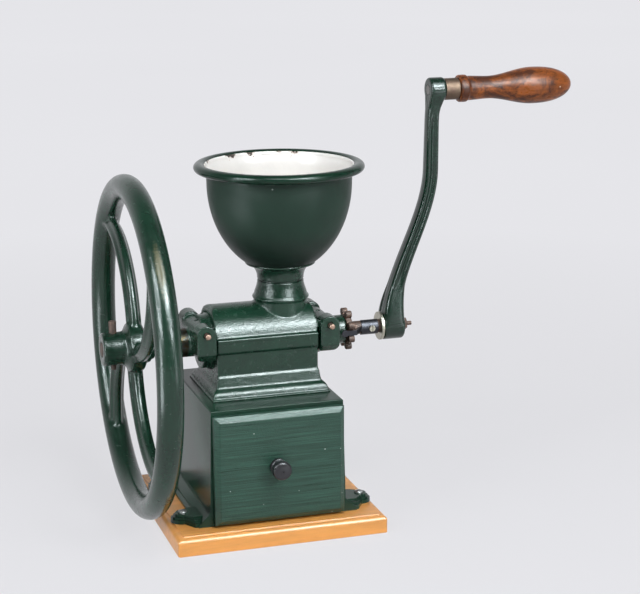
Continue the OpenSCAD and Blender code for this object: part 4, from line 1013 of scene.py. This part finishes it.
class MILL_OT_board(bpy.types.Operator):
    """Varnished board"""
    bl_idname = "mill.board"
    bl_label = "Board"

    def execute(self, context):
        low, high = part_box("base_board")
        top = high.z - low.z
        nose, step, ease = 4.5 * MM, 2.5 * MM, 0.6 * MM
        ledge = top - step / 2
        profile = [(ease, 0.0), (0.0, ease), (0.0, ledge - nose)]
        profile += [(nose - x, ledge - nose + y) for x, y in arc(0, 0, nose, 0, 90, 10)[1:]]
        inset = nose + step
        profile += [(inset - ease / 2, ledge), (inset, ledge + ease / 2), (inset, top - ease)]
        profile += [(inset + ease - x, top - ease + y) for x, y in arc(0, 0, ease, 0, 90, 3)[1:]]
        mesh = self.loft(low, high, profile, 2.6 * MM)
        mesh.shade_smooth()
        mesh = worked(mesh, ("WEIGHTED_NORMAL", {"weight": 50}))
        piece("board", mesh, "board_wood", ["base_board"], "board_wood")
        return {"FINISHED"}

    def loft(self, low, high, profile, corner, steps=7):
        """Rounded outlines stacked up, from pairs of a way in from the side and a height."""
        bm = bmesh.new()
        rings = []
        for inset, height in profile:
            radius = max(corner - inset, 0.8 * MM)
            x0, x1 = low.x + inset + radius, high.x - inset - radius
            y0, y1 = low.y + inset + radius, high.y - inset - radius
            outline = []
            for x, y, start in ((x1, y1, 0), (x0, y1, 90), (x0, y0, 180), (x1, y0, 270)):
                outline += arc(x, y, radius, start, start + 90, steps)
            rings.append([bm.verts.new((x, y, low.z + height)) for x, y in outline])
        skin(bm, rings)
        bm.faces.new(rings[0][::-1])
        bm.faces.new(rings[-1])
        return made(bm, "loft")


class MILL_OT_drawer(bpy.types.Operator):
    """Drawer: painted front, bare box and black knob"""
    bl_idname = "mill.drawer"
    bl_label = "Drawer"

    def execute(self, context):
        mesh = eased(merged_copy("drawer_front"), 0.6 * MM, 3, least=20)
        piece("front", mesh, "green_wood", ["drawer_front"], "painted_wood", crease=35)
        mesh = eased(merged_copy("drawer_tray"), 0.6 * MM, 2)
        piece("tray", mesh, "tray_wood", ["drawer_tray"], "tray_wood", crease=35)
        self.knob()
        return {"FINISHED"}

    def knob(self):
        """Turned knob: base ring, waist, and a head with a nearly flat face and a small dimple."""
        low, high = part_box("drawer_knob")
        head = (high.x - low.x) / 2
        length = high.y - low.y
        base, waist = 0.86 * head, 0.64 * head
        base_z, waist_z, head_z = 3.5 * MM, 0.4 * length, 0.62 * length
        edge, dome, bore, bore_len = 3.0 * MM, 0.9 * MM, 2.05 * MM, 13.5 * MM
        face_z = length - dome
        steps = 10
        turns = [math.radians(90 * i / steps) for i in range(steps + 1)]
        profile = [(0, bore_len), (bore, bore_len - 1 * MM), (bore, 0), (base - 0.7 * MM, 0),
                   (base, 0.8 * MM)]
        profile += [(base + (waist - base) * math.sin(t),
                     waist_z + (base_z - waist_z) * math.cos(t))
                    for t in turns]
        neck_z, rise = waist_z + 1 * MM, head_z - waist_z - 1 * MM
        profile += [(head + (waist - head) * math.cos(t), neck_z + rise * math.sin(t))
                    for t in turns[1:]]
        flat = head - edge
        profile += [(flat + edge * math.cos(t), face_z - edge + edge * math.sin(t)) for t in turns]
        profile += [(flat * k, length - dome * k * k) for k in (0.75, 0.5, 0.25)]
        dimple = ((0.9 * MM, 0.05 * MM), (0.6 * MM, 0.9 * MM), (0, 1.1 * MM))
        profile += [(radius, length - depth) for radius, depth in dimple]
        spot = Vector(((low.x + high.x) / 2, high.y, (low.z + high.z) / 2))
        mesh = turned(profile, (0, -1, 0), spot, 72)
        piece("knob", mesh, "black_wood", ["drawer_knob"], "black_wood", crease=50)


class MILL_OT_grip(bpy.types.Operator):
    """Turned grip with its collar, waist and belly"""
    bl_idname = "mill.grip"
    bl_label = "Grip"

    def execute(self, context):
        low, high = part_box("wooden_grip")
        length = high.x - low.x
        belly_r = (high.z - low.z) / 2
        collar_r, neck_r, waist_r = 14.2 * MM, 12.8 * MM, 11.8 * MM
        collar = 10 * MM
        waist_at, belly_at = 0.2, 0.62

        def radius(u):
            if u < waist_at:
                return neck_r + (waist_r - neck_r) * soft(u / waist_at)
            if u < belly_at:
                return waist_r + (belly_r - waist_r) * soft((u - waist_at) / (belly_at - waist_at))
            return belly_r * math.sqrt(max(0, 1 - ((u - belly_at) / (1 - belly_at)) ** 2.4))

        bore, bore_len, bead, hollow = 5.06 * MM, 95 * MM, 1.8 * MM, 1.6 * MM
        profile = [(0, bore_len), (bore, bore_len - 3 * MM), (bore, 0), (collar_r - bead, 0)]
        profile += arc(collar_r - bead, bead, bead, -60, 0, 4)
        profile += [(collar_r + 0.1 * MM, collar * 0.5)]
        profile += arc(collar_r - hollow, collar - 2.4 * MM, hollow, 0, 60, 4)
        body = length - collar
        # Close steps at the rounded end
        shares = [i / 60 for i in range(58)] + [0.962, 0.974, 0.984, 0.991, 0.996, 0.999, 1.0]
        profile += [(radius(u), collar + body * u) for u in shares]
        mesh = turned(profile, (1, 0, 0), Vector((low.x, GRIP.y, GRIP.z)), 72)
        piece("grip_handle", mesh, "grip_wood", ["wooden_grip"], "grip_wood", crease=60)
        mesh = eased(merged_copy("grip_ferrule"), 0.5 * MM)
        piece("ferrule", mesh, "brown_steel", ["grip_ferrule"], "brown_steel", crease=40)
        return {"FINISHED"}


def set_out(name, mesh, places, look, far_turn):
    """Copies of one shape at places, those behind the shaft turned, by Geometry Nodes."""
    mesh.shade_smooth()
    shape = linked("master", mesh)
    recipe = Recipe(name)
    points = recipe.points()
    master = recipe.given("Master", shape, "NodeSocketObject")
    half_turn = recipe.given("Far Side Turn", far_turn)
    shown = recipe.add("GeometryNodeObjectInfo", Object=master).outputs["Geometry"]
    place = recipe.add("GeometryNodeInputPosition").outputs["Position"]
    back = recipe.add("ShaderNodeSeparateXYZ", Vector=place).outputs["Y"]
    turn = recipe.turn(recipe.times(recipe.math("GREATER_THAN", back, 0.0), half_turn))
    copies = recipe.add("GeometryNodeInstanceOnPoints", Points=points, Instance=shown,
                        Rotation=turn)
    mesh = recipe.mesh(copies.outputs["Instances"], look, places)
    bpy.data.objects.remove(shape)
    return mesh


class MILL_OT_lug_screws(bpy.types.Operator):
    """Domed, slotted screws through the four lugs"""
    bl_idname = "mill.lug_screws"
    bl_label = "Lug Screws"

    def execute(self, context):
        low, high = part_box("lug_screws")
        head, dome, shank, slot = 4.6 * MM, 2.6 * MM, 2.2 * MM, 1.1 * MM
        depth = high.z - low.z
        top = [(head * math.sin(t), depth - dome * 0.62 * (1 - math.cos(t)))
               for t in (math.radians(a) for a in range(90, 0, -10))]
        profile = [(0, 0), (shank, 2 * MM), (shank, depth - dome), (head, depth - dome)]
        mesh = turned(profile + top + [(0, depth)], (0, 0, 1), Vector((0, 0, 0)), 40)
        bm = bmesh.new()
        place = Matrix.Translation((0, 0, depth)) @ Matrix.Rotation(0.6, 4, "Z")
        bmesh.ops.create_cube(bm, size=1,
                              matrix=place @ Matrix.Diagonal((3 * head, slot, 2 * MM, 1)))
        tool = linked("slot", made(bm, "slot"))
        mesh = worked(mesh,
                      ("BOOLEAN", {"object": tool, "operation": "DIFFERENCE", "solver": "EXACT"}))
        bpy.data.objects.remove(tool)
        places = [(x, y, low.z) for x in (low.x + head, high.x - head)
                  for y in (low.y + head, high.y - head)]
        mesh = set_out("Lug Screws", mesh, places, "zinc_steel", 1.1)
        piece("screws_lug", mesh, "zinc_steel", ["lug_screws"], "zinc_steel", crease=40)
        return {"FINISHED"}


class MILL_OT_bridge_pins(bpy.types.Operator):
    """Dowels through both bridges, rusty with rubbed ends"""
    bl_idname = "mill.bridge_pins"
    bl_label = "Bridge Pins"

    def execute(self, context):
        for side in ("left", "right"):
            node = "bridge_pins_" + side
            low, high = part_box(node)
            mid = (low + high) / 2
            radius = (high.x - low.x) / 2
            inner, ease, rubbed = 23.5 * MM, 1.2 * MM, 1.6 * MM
            length = high.y - inner
            profile = [(0, 0), (radius, 0), (radius, length - ease)]
            profile += arc(radius - ease, length - ease, ease, 0, 90, 5) + [(0, length)]
            shape = turned(profile, (0, -1, 0), Vector((0, 0, 0)), 32)
            places = [(mid.x, -inner, mid.z), (mid.x, inner, mid.z)]
            mesh = set_out("Bridge Pins " + side.title(), shape, places, "rusty_steel", math.pi)
            tip = high.y - rubbed
            for face in mesh.polygons:
                face.material_index = 1 if abs(face.center.y) > tip else 0
            piece("pins_" + side, mesh, "rusty_steel", [node], "rusty_steel", "rubbed_steel",
                  crease=40)
        return {"FINISHED"}


class MILL_OT_star_nut(bpy.types.Operator):
    """Lobed nut that sets the grind"""
    bl_idname = "mill.star_nut"
    bl_label = "Star Nut"

    def execute(self, context):
        s = sizes()
        low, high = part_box("star_nut")
        hub_out = 2.5 * MM
        thick = high.x - low.x - hub_out
        recipe = Recipe("Star Nut")
        count = recipe.given("Lobes", s.lobes, "NodeSocketInt")
        lobe = recipe.given("Lobe Radius", s.lobe_radius)
        ring = recipe.given("Lobe Ring", s.lobe_ring)
        depth = recipe.given("Thickness", thick)
        knob = recipe.cylinder(lobe, depth, 40)
        half = recipe.math("DIVIDE", math.pi, count)
        spot = recipe.vector(X=recipe.times(ring, recipe.math("COSINE", half)),
                             Y=recipe.times(ring, recipe.math("SINE", half)))
        knob = recipe.moved(knob, Translation=spot)
        core = recipe.sweep(recipe.ring(recipe.times(ring, 0.614), 96),
                            recipe.bar(recipe.times(ring, 0.455), depth, 0.08))
        section = recipe.bar(recipe.times(ring, 0.137), recipe.math("ADD", depth, hub_out), 0.2)
        hub = recipe.sweep(recipe.ring(recipe.times(ring, 0.455), 96), section)
        hub = recipe.moved(hub, Translation=(0, 0, hub_out / 2))
        mesh = recipe.mesh(recipe.join(recipe.around(knob, count), core, hub), "rusty_steel")
        mesh.transform(along_shaft(low.x + thick / 2))
        mesh = cast_skin(mesh, 0.5 * MM, 14)
        piece("setting_star", mesh, "rusty_steel", ["star_nut"], "rusty_steel")
        return {"FINISHED"}


SMALL_PIECES = (
    ("shaft", "main_shaft", "rusty_steel", 0.3),
    ("wheel_pin", "flywheel_pin", "rusty_steel", 0.7),
    ("nut_crank", "crank_nut", "rusty_steel", 0.5),
    ("washer_crank", "crank_washer", "nickel_steel", 0.45),
    ("spring_leaf", "detent_spring", "blue_steel", 0.18),
    ("screw_leaf", "detent_screw", "nickel_steel", 0.3),
    ("brass_left", "bush_left", "bush_brass", 0.3),
    ("brass_right", "bush_right", "bush_brass", 0.3),
)


class MILL_OT_steel(bpy.types.Operator):
    """Shaft, pin, nut, washer, leaf spring and bushes"""
    bl_idname = "mill.steel"
    bl_label = "Shaft and Steel"

    def execute(self, context):
        for name, node, look, width in SMALL_PIECES:
            piece(name, eased(merged_copy(node), width * MM), look, [node], look, crease=40)
        return {"FINISHED"}


INNER_WORKS = {
    "knob_screw": "zinc_steel",
    "fixed_burr": "burr_iron", "moving_burr": "burr_iron", "feed_auger": "burr_iron",
    "head_bolts": "plain_steel", "burr_screws": "plain_steel", "burr_pin": "plain_steel",
    "auger_pin": "plain_steel", "grip_spindle": "plain_steel",
}


class MILL_OT_inner_works(bpy.types.Operator):
    """Burrs, auger, bolts and pins inside the mill"""
    bl_idname = "mill.inner_works"
    bl_label = "Inner Works"

    def execute(self, context):
        for node, look in INNER_WORKS.items():
            slots = frame["nodes"][node].material_slots
            for slot in slots:
                slot.material = finish(look)
            if not slots:
                raise RuntimeError(node + " has no material slot")
        return {"FINISHED"}


def seen(f):
    """1 for what the camera sees by itself, in gloss or through glass."""
    rays = f.add("ShaderNodeLightPath").outputs
    gloss = f.math("MAXIMUM", rays["Is Glossy Ray"], rays["Is Transmission Ray"])
    return f.math("MAXIMUM", rays["Is Camera Ray"], gloss)


# Where the softboxes stand, and each one's width, height and brightness as a card seen in gloss
SPOTS = {
    "top": (0.15, -1.05, 1.9), "middle": (0.4, -1.4, 1.55), "left": (-1.62, -0.78, 1.15),
    "right": (0.8, -1.6, 1.25), "low_left": (-1.35, -0.42, 0.17), "low_right": (0.75, -1.0, 0.17),
    "floor_left": (-0.95, -0.2, 0.01),
}
CARDS = {
    "top": (1.7, 0.8, 0.22), "middle": (0.9, 0.5, 0.68), "left": (0.75, 1.0, 0.9),
    "right": (0.65, 0.9, 1.15), "low_left": (0.34, 0.36, 0.28), "low_right": (0.34, 0.36, 0.09),
    "floor_left": (0.8, 0.28, 0.22),
}
LAMP_SIDE = 0.6
CARD_TINT = (0.88, 0.97, 1.0)


class MILL_OT_stage(bpy.types.Operator):
    """Pale floor, soft light and the camera"""
    bl_idname = "mill.stage"
    bl_label = "Studio"

    def execute(self, context):
        scene = context.scene
        studio = scene.mill_studio
        mesh = bpy.data.meshes.new("floor")
        reach = 40
        corners = [(x * reach, y * reach, 0) for x, y in ((-1, -1), (1, -1), (1, 1), (-1, 1))]
        mesh.from_pydata(corners, [], [(0, 1, 2, 3)])
        floor = linked("floor", mesh)
        mesh.materials.append(self.floor_look(tuple(studio.backdrop)))
        scene.world = self.sky(tuple(studio.backdrop), studio.fill)
        for name, power in (("top", studio.key), ("left", studio.strip), ("right", studio.strip)):
            self.light("lamp_" + name, power, (LAMP_SIDE, LAMP_SIDE), SPOTS[name], glossy=False)
        for name, (width, height, share) in CARDS.items():
            power = share * studio.sheen * math.pi * width * height
            self.light("card_" + name, power, (width, height), SPOTS[name], diffuse=False,
                       flat=name.startswith("floor"))
        self.camera(scene, studio)
        scene.view_settings.view_transform = "Standard"
        return {"FINISHED"}

    def light(self, name, power, size, spot, diffuse=True, glossy=True, flat=False):
        """A softbox that faces the mill or lies flat: a lamp lights, a card only shows in gloss."""
        target = (spot[0], spot[1], 1.0) if flat else (0, 0, 0.22)
        lamp = bpy.data.lights.new(name, "AREA")
        lamp.shape = "RECTANGLE"
        lamp.size, lamp.size_y = size
        lamp.energy = power
        lamp.color = (1, 1, 1) if diffuse else CARD_TINT
        obj = linked(name, lamp)
        obj.location = spot
        obj.rotation_euler = (Vector(target) - Vector(spot)).to_track_quat("-Z", "Y").to_euler()
        obj.visible_diffuse, obj.visible_glossy = diffuse, glossy

    def floor_look(self, colour):
        """Pale floor: mostly its own colour to the eye and in gloss, with a soft shadow."""
        f = Finish("floor")
        tone = f.ramp(f.noise(0.6, 2), (0.3, shade(colour, 0.985)), (0.7, colour))
        f.set(Base_Color=tone, Roughness=0.9, Specular_IOR_Level=0.1)
        glow = f.add("ShaderNodeEmission", Color=tone, Strength=1.0).outputs["Emission"]
        share = f.span(f.near((0, 0, 0), 1.5), 0.0, 0.75, 1.0, 0.82)
        look = f.blend(f.times(seen(f), share), f.shader.outputs["BSDF"], glow)
        f.put(f.result.inputs["Surface"], look)
        return f.material

    def sky(self, colour, fill):
        """Pale backdrop for the eye and gloss, dimmer overhead and in front, and an even fill."""
        f = Room("studio")
        way = f.add("ShaderNodeTexCoord").outputs["Generated"]
        way = f.add("ShaderNodeSeparateXYZ", Vector=way).outputs
        ahead = f.math("SUBTRACT", way["Y"], f.math("MAXIMUM", way["Z"], 0.0))
        camera = f.add("ShaderNodeLightPath").outputs["Is Camera Ray"]
        pale = f.math("MAXIMUM", camera, f.span(ahead, -0.5, 0.5))
        shown = f.add("ShaderNodeBackground", Color=f.mix(pale, shade(colour, 0.16), colour))
        light = f.add("ShaderNodeBackground", Color=(1, 1, 1), Strength=fill)
        look = f.blend(seen(f), light.outputs["Background"], shown.outputs["Background"])
        f.add("ShaderNodeOutputWorld", Surface=look)
        return f.world

    def camera(self, scene, studio):
        a, e, r = studio.turn, studio.lift, studio.roll
        back = Vector((math.sin(a) * math.cos(e), -math.cos(a) * math.cos(e), math.sin(e)))
        right = Vector((math.cos(a), math.sin(a), 0))
        up = back.cross(right)
        right, up = right * math.cos(r) + up * math.sin(r), up * math.cos(r) - right * math.sin(r)
        lens = bpy.data.cameras.new("camera")
        lens.sensor_fit = "HORIZONTAL"
        lens.sensor_width = 36
        lens.lens = studio.lens
        lens.clip_end = 200
        eye = linked("camera", lens)
        eye.matrix_world = Matrix((right, up, back)).transposed().to_4x4()
        eye.location = Vector(studio.target) + back * studio.distance
        scene.camera = eye


OPERATORS = (
    MILL_OT_stage, MILL_OT_board, MILL_OT_casing, MILL_OT_head, MILL_OT_bridges,
    MILL_OT_bridge_pins, MILL_OT_hopper, MILL_OT_drawer, MILL_OT_lug_screws, MILL_OT_flywheel,
    MILL_OT_star_nut, MILL_OT_steel, MILL_OT_crank, MILL_OT_grip, MILL_OT_inner_works,
)


class MILL_PT_panel(bpy.types.Panel):
    """Lists the mill's pieces and their settings"""
    bl_idname = "MILL_PT_panel"
    bl_label = "Coffee Mill"
    bl_space_type = "VIEW_3D"
    bl_region_type = "UI"
    bl_category = "Mill"

    def draw(self, context):
        column = self.layout.column(align=True)
        for operator in OPERATORS:
            column.operator(operator.bl_idname)
        for group in (context.scene.mill_sizes, context.scene.mill_finish,
                      context.scene.mill_studio):
            box = self.layout.box()
            for key in type(group).__annotations__:
                box.prop(group, key)


CLASSES = (MillSizes, MillFinish, MillStudio, *OPERATORS, MILL_PT_panel)


def register():
    for cls in CLASSES:
        bpy.utils.register_class(cls)
    bpy.types.Scene.mill_sizes = PointerProperty(type=MillSizes)
    bpy.types.Scene.mill_finish = PointerProperty(type=MillFinish)
    bpy.types.Scene.mill_studio = PointerProperty(type=MillStudio)


def unregister():
    del bpy.types.Scene.mill_studio, bpy.types.Scene.mill_finish, bpy.types.Scene.mill_sizes
    for cls in reversed(CLASSES):
        bpy.utils.unregister_class(cls)


def main():
    register()
    for operator in OPERATORS:
        group, name = operator.bl_idname.split(".")
        getattr(getattr(bpy.ops, group), name)()


if __name__ == "__main__":
    main()
